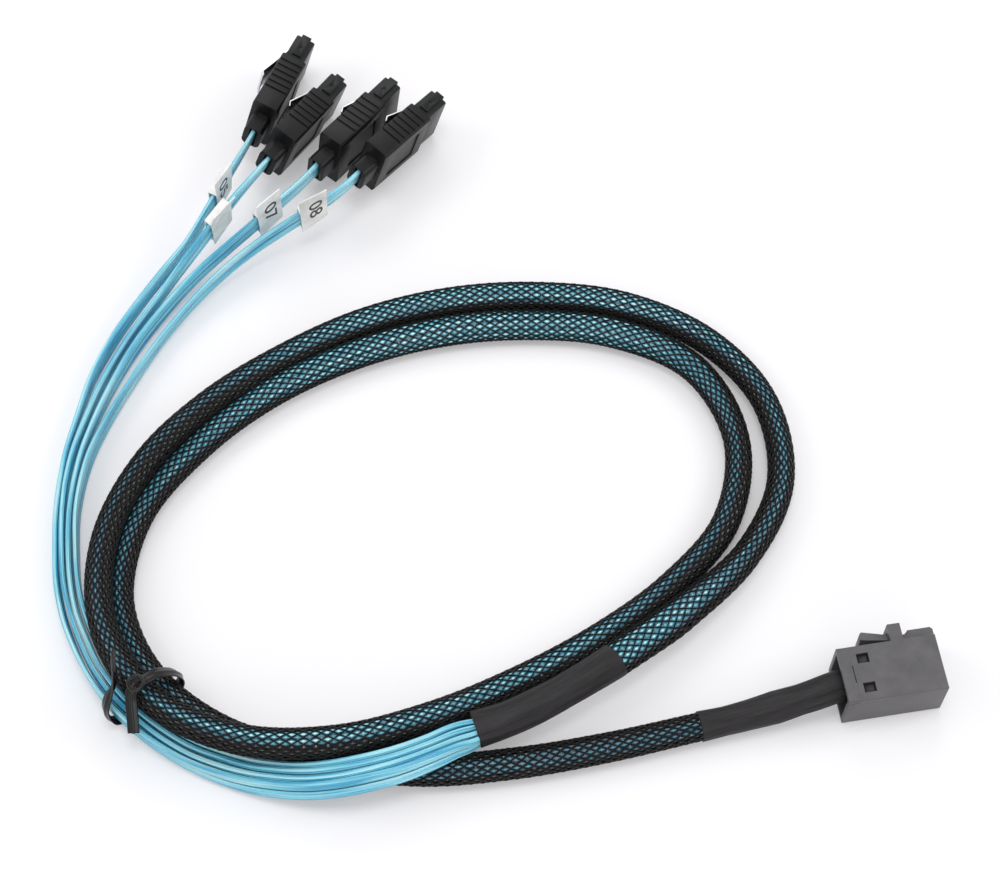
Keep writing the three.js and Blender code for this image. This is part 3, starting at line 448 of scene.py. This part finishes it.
drivePlaces = [
    {"at": (-54.3, 75.5, 2), "yaw": 68.8, "pitch": 6.5, "roll": 14.7},
    {"at": (-50.5, 65.4, 4.2), "yaw": 59.5, "pitch": 12, "roll": 16.1},
    {"at": (-37.5, 64.7, 2.6), "yaw": 53.8, "pitch": 7.2, "roll": 4.4},
    {"at": (-29.1, 61.7, 3.7), "yaw": 52.2, "pitch": 10.5, "roll": 11.5},
]


def placeMatrix(at, yaw, pitch=0.0, roll=0.0):
    turn = Matrix.Rotation(math.radians(yaw), 4, "Z") @ Matrix.Rotation(math.radians(pitch), 4, "Y")
    turn = turn @ Matrix.Rotation(math.radians(roll), 4, "X")
    return Matrix.Translation(Vector(toFrame([at])[0])) @ turn @ Matrix.Scale(mm, 4)


hostMatrix = placeMatrix(**hostPlace)
driveMatrices = [placeMatrix(**p) for p in drivePlaces]


# Trunk
print("trunk")
trunk = {
    "step": braid["turn"] / braid["strands"] / 4,  # half the distance between crossings
    "strandWidth": (0.52, 0.26),  # where the braid is closed and where the blue shows
    "strandThickness": 0.17,
    "strandTop": 0.55,  # share of the width that the outer face has
    "wave": 0.085,  # over and under the other strands
    "inset": 0.19,
    # place in the route, width, height
    "section": [
        (0, 6, 5.6), (2, 6.7, 5.6), (5, 6.7, 5.5), (7, 5.9, 6.1), (9, 6.8, 5.7), (12, 7.3, 5.5),
        (14, 7.3, 5.5), (16, 5.9, 6.1), (18, 6.4, 5.8), (20, 6.8, 5.5), (22, 6.8, 5.6), (25, 6, 6),
        (27, 5.9, 6.1), (28.5, 6.7, 5.8), (30, 7, 5.6), (33, 6.8, 5.7), (35, 5.9, 6.2), (37, 6.2, 6),
        (38.2, 7.9, 6.2), (38.9, 7.6, 6), (39, 6.6, 5.6),
    ],
}
trunkCentres, trunkAlong = evenSteps(toFrame(trunkRoute), trunk["step"] * mm)
_, trunkUp, trunkSide = frameAlong(trunkCentres)
place = trunkAlong / trunkAlong[-1] * (len(trunkRoute) - 1)
planned = np.array(trunk["section"])
trunkWidth = np.interp(place, planned[:, 0], planned[:, 1]) * mm
trunkHeight = np.interp(place, planned[:, 0], planned[:, 2]) * mm


# The ribbon cables inside the braid: flat faces with grooves between them, slowly twisting
core = {
    "faces": 9, "around": 72, "every": 2, "inset": 0.31, "groove": 0.26, "grooveEdge": 0.35, "twist": 420.0,
    "highlightStripes": {"seed": 3, "count": 7, "waves": (9, 24), "drift": 90, "phase": 6.28, "share": 0.25},
    # how bright the painted light on the blue is: without and for the painted highlight stripes, in the
    # painted shade of the grooves and for out of them, everywhere
    "tone": {"plain": 0.72, "highlightStripes": 0.32, "grooves": 0.6, "faces": 0.4, "least": 0.03},
    "bandEdge": 18,  # degrees over which the blue fades out
    # place in the route, middle of the band where the braid opens and the blue shows, with painted shade on
    # the core outside it, and its half width in degrees, how strongly
    "band": [
        (0, -20, 34, 0.6), (3, -18, 34, 0.66), (5, 0, 26, 0.6), (7, -22, 40, 0.8), (10, -3, 62, 1),
        (12, 12, 88, 1.1), (14, 16, 84, 1.05), (15, 20, 52, 0.9), (16, 20, 22, 0.75), (18, 14, 22, 0.8),
        (19, 8, 32, 1), (21, 6, 34, 1.05), (23, 8, 30, 1.05), (24, 0, 22, 0.8), (26, -10, 16, 0.6),
        (28, -5, 20, 0.7), (30, -4, 48, 1.05), (33, 0, 52, 1.1), (34, -8, 40, 0.9), (35, -6, 30, 0.75),
        (37, -8, 22, 0.75), (38, 0, 40, 1.05), (39, 0, 52, 1.1),
    ],
}
band = np.array(core["band"], dtype=float)
bandMiddle, bandHalf, bandShow = (np.interp(place, band[:, 0], band[:, k])[:, None] for k in (1, 2, 3))


# 1 inside the band where the blue shows, 0 outside, where the core gets painted shade; the angle in degrees
# runs from the top
def insideLitBand(angle, step=1):
    away = np.abs((angle - bandMiddle[::step] + 180) % 360 - 180)
    return np.clip((bandHalf[::step] + core["bandEdge"] / 2 - away) / core["bandEdge"], 0, 1)


def strandLayer(name, direction):
    loft = Loft()
    wind = 2 * np.pi / (braid["turn"] * mm)
    crossings = trunkAlong / mm / (braid["turn"] / (2 * braid["strands"]))
    lift = direction * np.cos(np.pi * crossings) * trunk["wave"] * mm
    a = (trunkWidth / 2 - trunk["inset"] * mm + lift)[:, None]
    b = (trunkHeight / 2 - trunk["inset"] * mm + lift)[:, None]
    t = trunk["strandThickness"] * mm / 2
    top = trunk["strandTop"]
    wide, narrow = (v * mm / 2 for v in trunk["strandWidth"])
    for i in range(braid["strands"]):
        angle = (direction * wind * trunkAlong + 2 * np.pi * i / braid["strands"])[:, None]
        centres = trunkCentres + trunkSide * a * np.cos(angle) + trunkUp * b * np.sin(angle)
        outward = unit(trunkSide * np.cos(angle) / a + trunkUp * np.sin(angle) / b)
        tangent = unit(np.gradient(centres, axis=0))
        outward = unit(outward - tangent * np.sum(outward * tangent, axis=1, keepdims=True))
        opened = insideLitBand(90 - np.degrees(angle)) * np.clip(bandShow, 0, 1)
        w = (wide + (narrow - wide) * opened[:, 0])[:, None]
        outline = np.stack([np.broadcast_to([t, t, -t, -t], (len(w), 4)), w * [-top, top, 1, -1]], -1)
        loft.sweep(centres, outward, np.cross(tangent, outward), outline, trunkAlong)
    return loft.piece(name)


braidRight = finish(strandLayer("braidRight", 1), "cable", strandBlack, "braid")
braidLeft = finish(strandLayer("braidLeft", -1), "cable", strandBlack, "braid")

loft = Loft()
every = core["every"]
coreCentres, coreAlong = trunkCentres[::every], trunkAlong[::every]
angle = np.arange(core["around"]) * 2 * np.pi / core["around"]
turned = angle[None, :] + 2 * np.pi * coreAlong[:, None] / (core["twist"] * mm)
groove = np.abs(np.cos(core["faces"] * turned / 2)) ** core["grooveEdge"]
depth = (core["inset"] + core["groove"] * (1 - groove)) * mm
half = np.stack([trunkHeight[::every, None] / 2 - depth, trunkWidth[::every, None] / 2 - depth], -1)
outline = half * np.stack([np.cos(angle), np.sin(angle)], -1)
loft.sweep(coreCentres, trunkUp[::every], trunkSide[::every], outline, coreAlong)
trunkCore = loft.piece("trunkCore")

# Painted light on the core: painted highlight stripes round it, painted shade in the grooves and outside the
# band
spec, tone = core["highlightStripes"], core["tone"]
random = np.random.default_rng(spec["seed"])
highlightStripes = np.zeros_like(turned)
for k in range(spec["count"]):
    waves = int(random.integers(*spec["waves"]))
    drift = random.uniform(-spec["drift"], spec["drift"]) * coreAlong[:, None]
    highlightStripes += np.sin(waves * turned + drift + random.uniform(0, spec["phase"])) * spec["share"]
paintedLight = bandShow[::every] * insideLitBand(np.degrees(angle)[None, :], every)
paintedLight = paintedLight * (tone["plain"] + tone["highlightStripes"] * highlightStripes) * (tone["grooves"] + tone["faces"] * groove)
paintedLight = np.clip(paintedLight + tone["least"], 0, 1)
tones = trunkCore.data.attributes.new("paintedLight", "FLOAT", "POINT")
tones.data.foreach_set("value", paintedLight.ravel())
finish(trunkCore, "cable", coreTeal, "braid", "braided_sleeve")


# Ribbon cables of the drive leads
print("drive leads")
ribbon = {
    "width": 2.1, "thickness": 1.05, "waist": 0.11, "pairGap": 0.3, "step": 1.2,
    "streakShift": 0.31,  # so that each ribbon's streaks start somewhere else
    # inside the breakout sleeve the leads lie nearer together and each pair is pressed
    "intoSleeve": 2.2, "gather": 0.74, "pressed": 0.78, "spreadOver": 6,
    "plugTurn": 0.88,  # share of the length from where a lead turns to its plug's own tilt
}
stubEnd = Vector((-3.6, 3.05, 7.2))  # where a lead ends inside a plug's stub, in the plug's own millimetres


# Two round cores side by side in one jacket
def ribbonOutline(width, thickness, waist):
    points = []
    r = thickness / 2
    reach = width / 2 - r
    for sign in (1, -1):
        for k in range(5):
            turn = math.pi * k / 4 - sign * math.pi / 2
            points.append((sign * reach + r * math.cos(turn), r * math.sin(turn)))
        points.append((0, sign * (r - waist)))
    return np.array(points) * mm


# How far each lead leans towards the coil, in degrees, at these shares of its length
tiltStops = [0, 0.03, 0.06, 0.12, 0.2, 0.28, 0.45, 0.6, 0.75, 0.88, 1]
ribbonTilt = [
    [0, 14, 26, 32, 26, 6, -6, 8, -6, 0, 0],
    [0, 14, 24, 29, 22, 4, 4, -6, 6, 0, 0],
    [0, 14, 26, 31, 25, 5, -5, 7, -7, 0, 0],
    [0, 14, 22, 27, 20, 2, 5, -5, 6, 0, 0],
]
leads = []
sleeveInner, sleeveMouth = toFrame(breakoutRoute)[-2:]
sleeveInward = unit(sleeveInner - sleeveMouth)
ribbonSection = ribbonOutline(ribbon["width"], ribbon["thickness"], ribbon["waist"])
for number, (route, matrix) in enumerate(zip(leadRoutes, driveMatrices), 1):
    points = np.vstack([toFrame(route), np.array(matrix @ stubEnd)])
    plugUp = np.array((matrix.to_3x3() @ Vector((0, 0, 1))).normalized())
    offset = points[0] - sleeveMouth
    offset = offset - sleeveInward * (offset @ sleeveInward)
    start = sleeveMouth + sleeveInward * ribbon["intoSleeve"] * mm + ribbon["gather"] * offset
    centres, along = evenSteps(np.vstack([start, points]), ribbon["step"] * mm)
    tilt = np.interp(np.linspace(0, 1, len(centres)), tiltStops, ribbonTilt[number - 1])
    guides = ((0, (0, 0, 1)), (ribbon["plugTurn"], (0, 0, 1)), (1, plugUp))
    tangent, up, side = frameAlong(centres, guides, tilt)
    leads.append({"centres": centres, "along": along, "tangent": tangent, "up": up, "side": side,
                  "hidden": float(np.linalg.norm(points[0] - start))})
    lift = (ribbon["width"] + ribbon["pairGap"]) / 2 * mm
    loose = np.clip(along / (ribbon["spreadOver"] * mm), 0, 1)[:, None]
    lift = lift * (ribbon["pressed"] + (1 - ribbon["pressed"]) * loose * loose * (3 - 2 * loose))
    for level, sign in (("lower", -1), ("upper", 1)):
        loft = Loft()
        middle = centres + up * sign * lift
        loft.sweep(middle, up, side, ribbonSection, along + ribbon["streakShift"] * (2 * number + sign))
        strip = loft.piece(f"ribbon{number}{level.title()}")
        finish(strip, "cable", ribbonBlue, "ribbon_blue", f"drive_{number}_ribbon_{level}")


# Heat-shrink sleeves
print("heat-shrink sleeves")
sleeves = {
    "host": {
        "widths": [6.3, 5.9, 6.2, 6.8, 6.2, 6.5, 6.6], "heights": [6, 5.8, 6, 6, 5.2, 4.9, 4.8],
        "square": [2, 2, 2, 2, 2.2, 2.4, 2.4], "wrinkle": 0.198, "overlap": 0.8, "rimDepth": 0.4,
        "inShell": [(0, 5.925, 5.8), (2.2, 5.925, 5.8)],  # in the plug's own millimetres
    },
    "breakout": {
        "widths": [7.5, 7.1, 7.0, 7.2, 7.0, 7.2], "heights": [6.5, 6.2, 6.1, 6.2, 5.9, 5.9],
        "square": [2, 2, 2, 2.2, 2.8, 3.6], "wrinkle": 0.176, "overlap": 0.8, "rimDepth": 1.6,
    },
}
shrink = {
    "step": 0.3, "around": 72,
    "waves": 9, "ridges": (6, 26), "drift": 3, "swell": (0.6, 2.4),
    "wall": 0.16, "rounding": 0.06, "bulge": 0.12,  # the rims: shares of the size, and millimetres
}


def shrinkSleeve(name, points, spec, seed):
    centres, along = evenSteps(points, shrink["step"] * mm)
    tangent, up, side = frameAlong(centres)
    share = along / along[-1]
    stops = np.linspace(0, 1, len(spec["widths"]))
    widths = np.interp(share, stops, spec["widths"])[:, None]
    heights = np.interp(share, stops, spec["heights"])[:, None]
    around = shrink["around"]
    angle = np.arange(around) * 2 * np.pi / around
    random = np.random.default_rng(seed)
    ridge = np.zeros((len(centres), around))
    for k in range(shrink["waves"]):
        count = int(random.integers(*shrink["ridges"]))
        phase = random.uniform(0, 2 * np.pi)
        drift = random.uniform(-shrink["drift"], shrink["drift"])
        swellWay = random.uniform(*shrink["swell"]) * share + random.uniform(0, 1)
        swell = (0.5 + 0.5 * np.sin(2 * np.pi * swellWay))[:, None]
        ridge += swell * np.sin(count * angle[None] + phase + drift * share[:, None]) / shrink["waves"]
    ridge = spec["wrinkle"] * ridge
    a, b = heights / 2 + ridge, widths / 2 + ridge
    square = 2 / np.interp(share, stops, spec["square"])[:, None]  # 2 is an ellipse, more is nearer a box
    cosine, sine = np.cos(angle)[None], np.sin(angle)[None]
    outline = np.stack([a * np.sign(cosine) * np.abs(cosine) ** square,
                        b * np.sign(sine) * np.abs(sine) ** square], -1) * mm
    # rolled rim at both ends, from inside to outside: share of the section, millimetres inwards
    inner = 1 - shrink["wall"]
    rim = [(inner, spec["rimDepth"]), (inner, 0), (1 - shrink["rounding"], -shrink["bulge"]), (1, 0)]

    def rimRows(end, inwards, rows):
        way = inwards * tangent[end] * mm
        return [(centres[end] + way * shift, outline[end] * scale) for scale, shift in rows]

    first, last = rimRows(0, 1, rim), rimRows(-1, -1, rim[::-1])
    allCentres = np.vstack([[c for c, _ in first], centres[1:-1], [c for c, _ in last]])
    allOutline = np.concatenate([[o for _, o in first], outline[1:-1], [o for _, o in last]])
    rows = len(rim)
    allUp = np.vstack([up[:1]] * rows + [up[1:-1]] + [up[-1:]] * rows)
    allSide = np.vstack([side[:1]] * rows + [side[1:-1]] + [side[-1:]] * rows)
    allAlong = np.concatenate([[along[0]] * rows, along[1:-1], [along[-1]] * rows])
    loft = Loft()
    loft.sweep(allCentres, allUp, allSide, allOutline, allAlong)
    return loft.piece(name)


# Two points over the trunk, from its end inwards
def overTrunk(centres, distance):
    count = max(2, int(round(distance / trunk["step"])))
    return centres[count], centres[count // 2]


back, half = overTrunk(trunkCentres, sleeves["host"]["overlap"])
mouth = [np.array(hostMatrix @ Vector(point)) for point in sleeves["host"]["inShell"]]
hostPoints = np.vstack([back, half, toFrame(hostShrinkRoute), mouth])
hostSleeve = shrinkSleeve("hostSleeve", hostPoints, sleeves["host"], 11)
finish(hostSleeve, "cable", shrinkBlack, "heat_shrink", "host_heat_shrink")

back, half = overTrunk(trunkCentres[::-1], sleeves["breakout"]["overlap"])
breakoutPoints = np.vstack([back, half, toFrame(breakoutRoute)])
breakoutSleeve = shrinkSleeve("breakoutSleeve", breakoutPoints, sleeves["breakout"], 5)
finish(breakoutSleeve, "cable", shrinkBlack, "heat_shrink", "breakout_heat_shrink")


# Moulded pieces, with rounded edges
print("moulded pieces")
moulded = {"merge": 0.002, "flat": 1.0, "bevelFrom": 36.0, "smoothUpTo": 40.0}  # millimetres, then degrees


# A copy of the plain solid, cleaned and given soft moulded edges
def soften(node, name, body, material, slotName, width, segments=2):
    piece = bpy.data.objects[node].copy()
    piece.data = piece.data.copy()
    piece.name = name
    piece.data.name = name
    for key in list(piece.keys()):
        if key.startswith("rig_"):
            del piece[key]
    piece.parent = None
    scene.collection.objects.link(piece)
    bpy.ops.object.select_all(action="DESELECT")
    piece.select_set(True)
    bpy.context.view_layer.objects.active = piece
    bpy.ops.object.mode_set(mode="EDIT")
    bpy.ops.mesh.select_all(action="SELECT")
    bpy.ops.mesh.remove_doubles(threshold=moulded["merge"] * mm)
    bpy.ops.mesh.dissolve_limited(angle_limit=math.radians(moulded["flat"]))
    bpy.ops.object.mode_set(mode="OBJECT")
    bevel = piece.modifiers.new("softEdges", "BEVEL")
    bevel.width = width * mm
    bevel.segments = segments
    bevel.limit_method = "ANGLE"
    bevel.angle_limit = math.radians(moulded["bevelFrom"])
    bevel.harden_normals = False
    bpy.ops.object.modifier_apply(modifier="softEdges")
    bpy.ops.object.shade_smooth_by_angle(angle=math.radians(moulded["smoothUpTo"]))
    return finish(piece, body, material, slotName, node)


# Gives the faces inside local boxes, in millimetres, another material
def paintFaces(piece, matrix, boxes, index):
    inverse = matrix.inverted()
    for face in piece.data.polygons:
        x, y, z = inverse @ face.center
        if any(x0 <= x <= x1 and y0 <= y <= y1 and z0 <= z <= z1 for x0, x1, y0, y1, z0, z1 in boxes):
            face.material_index = index


soften("host_plug_shell", "hostShell", "cable", shellPlastic, "shell_grey", width=0.09)
soften("host_latch", "hostLatch", "host_latch", shellPlastic, "shell_grey", width=0.12)
soften("host_wire_retainer", "hostRetainer", "cable", retainerPlastic, "retainer_black", width=0.08)

# Gold pads on both faces of each card: from and to along each axis, heights from the card's middle
pads = {"x": (15.4, 19.2), "y": (1, 11), "z": (0.51, 0.6)}
for level, height in (("lower", 3.6), ("upper", 8.0)):
    card = soften(f"paddle_card_{level}", f"paddleCard{level.title()}", "cable",
                  [boardGreen, padGold], "circuit_board", width=0.02, segments=1)
    near, far = pads["z"]
    heights = [(height - far, height - near), (height + near, height + far)]
    paintFaces(card, hostMatrix, [(*pads["x"], *pads["y"], *pair) for pair in heights], 1)

contacts = {"x": (16.8, 21.4), "y": (2.19, 2.6), "middle": 7.35, "pitch": 1.27, "half": 0.28}
for number, matrix in enumerate(driveMatrices, 1):
    soften(f"drive_{number}_overmould", f"drive{number}Overmould", "cable", plugRubber, "plug_black",
           width=0.16, segments=3)
    housing = soften(f"drive_{number}_contact_housing", f"drive{number}Housing", "cable",
                     [housingPlastic, padGold], "housing_black", width=0.1)
    middles = [contacts["middle"] + i * contacts["pitch"] for i in range(-3, 4)]
    boxes = [(*contacts["x"], *contacts["y"], z - contacts["half"], z + contacts["half"]) for z in middles]
    paintFaces(housing, matrix, boxes, 1)
    soften(f"drive_{number}_latch_leaf", f"drive{number}Leaf", f"drive_{number}_latch", springSteel,
           "latch_steel", width=0.05)


# Labels
print("labels")
labelSpec = {
    "shares": [0.925, 0.915, 0.925, 0.935], "leans": [0, 18, 0, 0], "numbers": ["05", "06", "07", "08"],
    "high": 2.95, "front": 1.2, "wall": 0.25,
    "frontDown": 0.9, "backUp": 2.2,  # from the fold's hinge to the middle of the digits
    # the digits: size, share of their width on each face, extra stroke, depth, height over the label
    "size": 4.68, "squeeze": {"Front": 1.25, "Back": 0.6}, "bold": 0.05, "depth": 0.01, "ink": 0.02,
    "rayFrom": 1.5, "rayLength": 4,  # for laying the digits on the label
}
for number, lead in enumerate(leads, 1):
    node = bpy.data.objects[f"drive_{number}_label"]
    node.data.materials.clear()
    node.data.materials.append(labelStock)
    corners, sides = [v.co for v in node.data.vertices], [f.vertices for f in node.data.polygons]
    surface = BVHTree.FromPolygons(corners, sides)
    # the part's own leads start at the sleeve's mouth
    total = lead["along"][-1] - lead["hidden"]
    i = int(np.argmin(np.abs(lead["along"] - lead["hidden"] - labelSpec["shares"][number - 1] * total)))
    normal, across, tangent = (Vector(lead[k][i]) for k in ("up", "side", "tangent"))
    rise = (Vector((0, 0, 1)) - across * across.z).normalized()
    rise = rise / rise.dot(normal)
    lean = math.radians(labelSpec["leans"][number - 1])
    flagRise = rise * math.cos(lean) + across * math.sin(lean)
    flagAcross = across * math.cos(lean) - rise * math.sin(lean)
    hinge = Vector(lead["centres"][i]) + (rise * labelSpec["high"] + across * labelSpec["front"]) * mm
    spots = {
        "Front": (hinge - flagRise * labelSpec["frontDown"] * mm, 1),
        "Back": (hinge + (flagRise * labelSpec["backUp"] - flagAcross * labelSpec["wall"]) * mm, -1),
    }
    if lean:
        del spots["Front"]  # this face is turned away and stays bare
    for face, (spot, sign) in spots.items():
        bpy.ops.object.select_all(action="DESELECT")
        bpy.ops.object.text_add()
        text = bpy.context.object
        text.data.body = labelSpec["numbers"][number - 1]
        text.data.align_x, text.data.align_y = "CENTER", "CENTER"
        text.data.size = labelSpec["size"] * mm
        text.data.offset = labelSpec["bold"] * mm
        text.data.extrude = labelSpec["depth"] * mm
        bpy.ops.object.convert(target="MESH")
        turn = Matrix((-flagRise * sign, tangent, flagAcross * sign)).transposed().to_4x4()
        squeeze = Matrix.Diagonal((labelSpec["squeeze"][face], 1, 1, 1))
        outward = flagAcross * sign
        text.data.transform(turn @ squeeze)
        for vertex in text.data.vertices:
            above = labelSpec["ink"] * mm if vertex.co.dot(outward) > 0 else 0.0
            start = spot + vertex.co + outward * labelSpec["rayFrom"] * mm
            hit = surface.ray_cast(start, -outward, labelSpec["rayLength"] * mm)[0]
            vertex.co = (hit or spot + vertex.co) + outward * above
        text.name = f"label{number}Digits{face}"
        finish(text, "cable", inkBlack, "label_white")

# Twist tie
print("twist tie")
tie = {
    "origin": (-73, -55, 0), "out": (-0.777, -0.63, 0), "along": (-0.63, 0.777, 0),
    "width": 2.4, "thickness": 1.0, "step": 0.35,
    # a quarter of the section, from the edge inwards: share of the half width, height
    "section": [(1, 0.09), (0.75, 0.16), (0.4, 0.14), (0.22, 0.26)],
    "curl": {"at": (4.5, 15.3, -6.7), "radius": 1.35, "wire": 1.0, "turns": 1.35, "pitch": 0.9,
             "rows": 44, "around": 14},
    "route": [
        (10, 6.9, -11.8), (8.6, 8.9, -9.9), (7.2, 11.2, -8), (6, 13.2, -6.8),
        (4.4, 14, -6.5), (2.4, 13.8, -6.5), (0, 12.6, -6.4), (-2.3, 10.1, -6.5),
        (-4, 7.1, -6.7), (-4.6, 4, -6.9), (-3.6, 1.4, -6.9), (-0.8, 0.62, -6.7),
        (4, 0.6, -6.2), (8, 0.66, -5.6), (10.9, 1.5, -5), (11.7, 3.9, -4.4),
        (11.4, 6.9, -3.9), (10, 9.6, -3.5), (8.1, 11.7, -3.1), (6.8, 13.6, -2),
        (5.4, 14.4, 0.2), (3.8, 14.3, 2.2),
    ],
    "guides": [
        (0, (1, 0, 0)), (0.1, (1, 0, 0)), (0.24, (0.63, -0.777, 0)), (0.8, (0.63, -0.777, 0)),
        (0.92, (0, 0, 1)),
    ],
}
axes = np.array([tie["out"], (0, 0, 1), tie["along"]])
tiePoints = toFrame(np.array(tie["origin"]) + np.array(tie["route"]) @ axes)
centres, steps = evenSteps(tiePoints, tie["step"] * mm)
_, up, side = frameAlong(centres, tie["guides"])
quarter = [(share * tie["width"] / 2, height) for share, height in tie["section"]]
upper = quarter + [(0, tie["thickness"] / 2)] + [(-x, y) for x, y in quarter[::-1]]
section = np.array(upper + [(-x, -y) for x, y in upper]) * mm
loft = Loft()
loft.sweep(centres, up, side, section[::-1], steps)
finish(loft.piece("twistTie"), "cable", tiePlastic, "tie_black", "twist_tie")

# where the two ends are wound round each other
curl = tie["curl"]
turn = np.linspace(0, 2 * np.pi * curl["turns"], curl["rows"])
cameraWay = unit(np.array(camera.location) - toFrame(tie["origin"]))
across = unit(np.cross(cameraWay, (0, 0, 1)))
upright = np.cross(across, cameraWay)
middle = toFrame(np.array(tie["origin"]) + np.array(curl["at"]) @ axes)
centres = middle + curl["radius"] * mm * (np.cos(turn)[:, None] * across + np.sin(turn)[:, None] * upright)
centres = centres + (turn / (2 * np.pi) * curl["pitch"] * mm)[:, None] * cameraWay
_, up, side = frameAlong(centres, ((0, tuple(cameraWay)),))
section = circle(curl["wire"] * mm, curl["around"])
loft = Loft()
loft.sweep(centres, up, side, section[::-1], turn * curl["radius"] * mm)
finish(loft.piece("tieCurl"), "cable", tiePlastic, "tie_black")


# Floor, backdrop and light
print("floor and light")
studio = {
    "floor": 4.0, "paper": (0.745, 0.735, 0.755), "glow": 0.24, "glowColor": (1, 0.99, 1),
    "worldLight": 0.55, "worldSeen": 1.0,
}


# 1 for what the camera sees, also in reflections, and 0 for light that falls on the pieces
def seenDirectly(tree):
    path = addNode(tree, "ShaderNodeLightPath")
    seen = calculate(tree, "MAXIMUM", path.outputs["Is Camera Ray"], path.outputs["Is Glossy Ray"])
    return calculate(tree, "MAXIMUM", seen, path.outputs["Is Transmission Ray"])


bpy.ops.object.select_all(action="DESELECT")
bpy.ops.mesh.primitive_plane_add(size=studio["floor"], location=(0, 0, 0))
floor = bpy.context.object
floor.name = "tableTop"
paper = bpy.data.materials.new("paperWhite")
paper.use_nodes = True
tree = paper.node_tree
tree.nodes.remove(tree.nodes["Principled BSDF"])
matte = addNode(tree, "ShaderNodeBsdfDiffuse")
matte.inputs["Color"].default_value = (*studio["paper"], 1)
glow = addNode(tree, "ShaderNodeEmission")
glow.inputs["Color"].default_value = (*studio["glowColor"], 1)
tree.links.new(calculate(tree, "MULTIPLY", seenDirectly(tree), studio["glow"]), glow.inputs["Strength"])
both = addNode(tree, "ShaderNodeAddShader")
tree.links.new(matte.outputs[0], both.inputs[0])
tree.links.new(glow.outputs[0], both.inputs[1])
tree.links.new(both.outputs[0], tree.nodes["Material Output"].inputs["Surface"])
floor.data.materials.append(paper)
floor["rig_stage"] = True

world = bpy.data.worlds.new("studioWorld")
scene.world = world
world.use_nodes = True
tree = world.node_tree
background = tree.nodes["Background"]
background.inputs["Color"].default_value = (1, 1, 1, 1)
strength = addNode(tree, "ShaderNodeMapRange")
strength.inputs["To Min"].default_value = studio["worldLight"]
strength.inputs["To Max"].default_value = studio["worldSeen"]
tree.links.new(seenDirectly(tree), strength.inputs["Value"])
tree.links.new(strength.outputs["Result"], background.inputs["Strength"])

lamps = [
    {"name": "overhead", "at": (0.0, 0.0, 0.85), "size": 0.28, "power": 1.35},
    {"name": "left", "at": (-0.55, 0.05, 0.42), "size": 0.35, "power": 1.05},
    {"name": "right", "at": (0.55, 0.05, 0.42), "size": 0.35, "power": 1.05},
    {"name": "back", "at": (0.0, 0.6, 0.5), "size": 0.45, "power": 1.0},
    {"name": "front", "at": (0.15, -0.75, 0.3), "size": 0.4, "power": 1.1},
]
for lamp in lamps:
    light = bpy.data.lights.new(lamp["name"], "AREA")
    light.shape = "SQUARE"
    light.size = lamp["size"]
    light.energy = lamp["power"]
    obj = bpy.data.objects.new(lamp["name"], light)
    obj.location = lamp["at"]
    obj.rotation_euler = (Vector((0, 0, 0)) - Vector(lamp["at"])).to_track_quat("-Z", "Y").to_euler()
    scene.collection.objects.link(obj)

boxes = {"cad": cadBounds, "visual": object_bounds()}
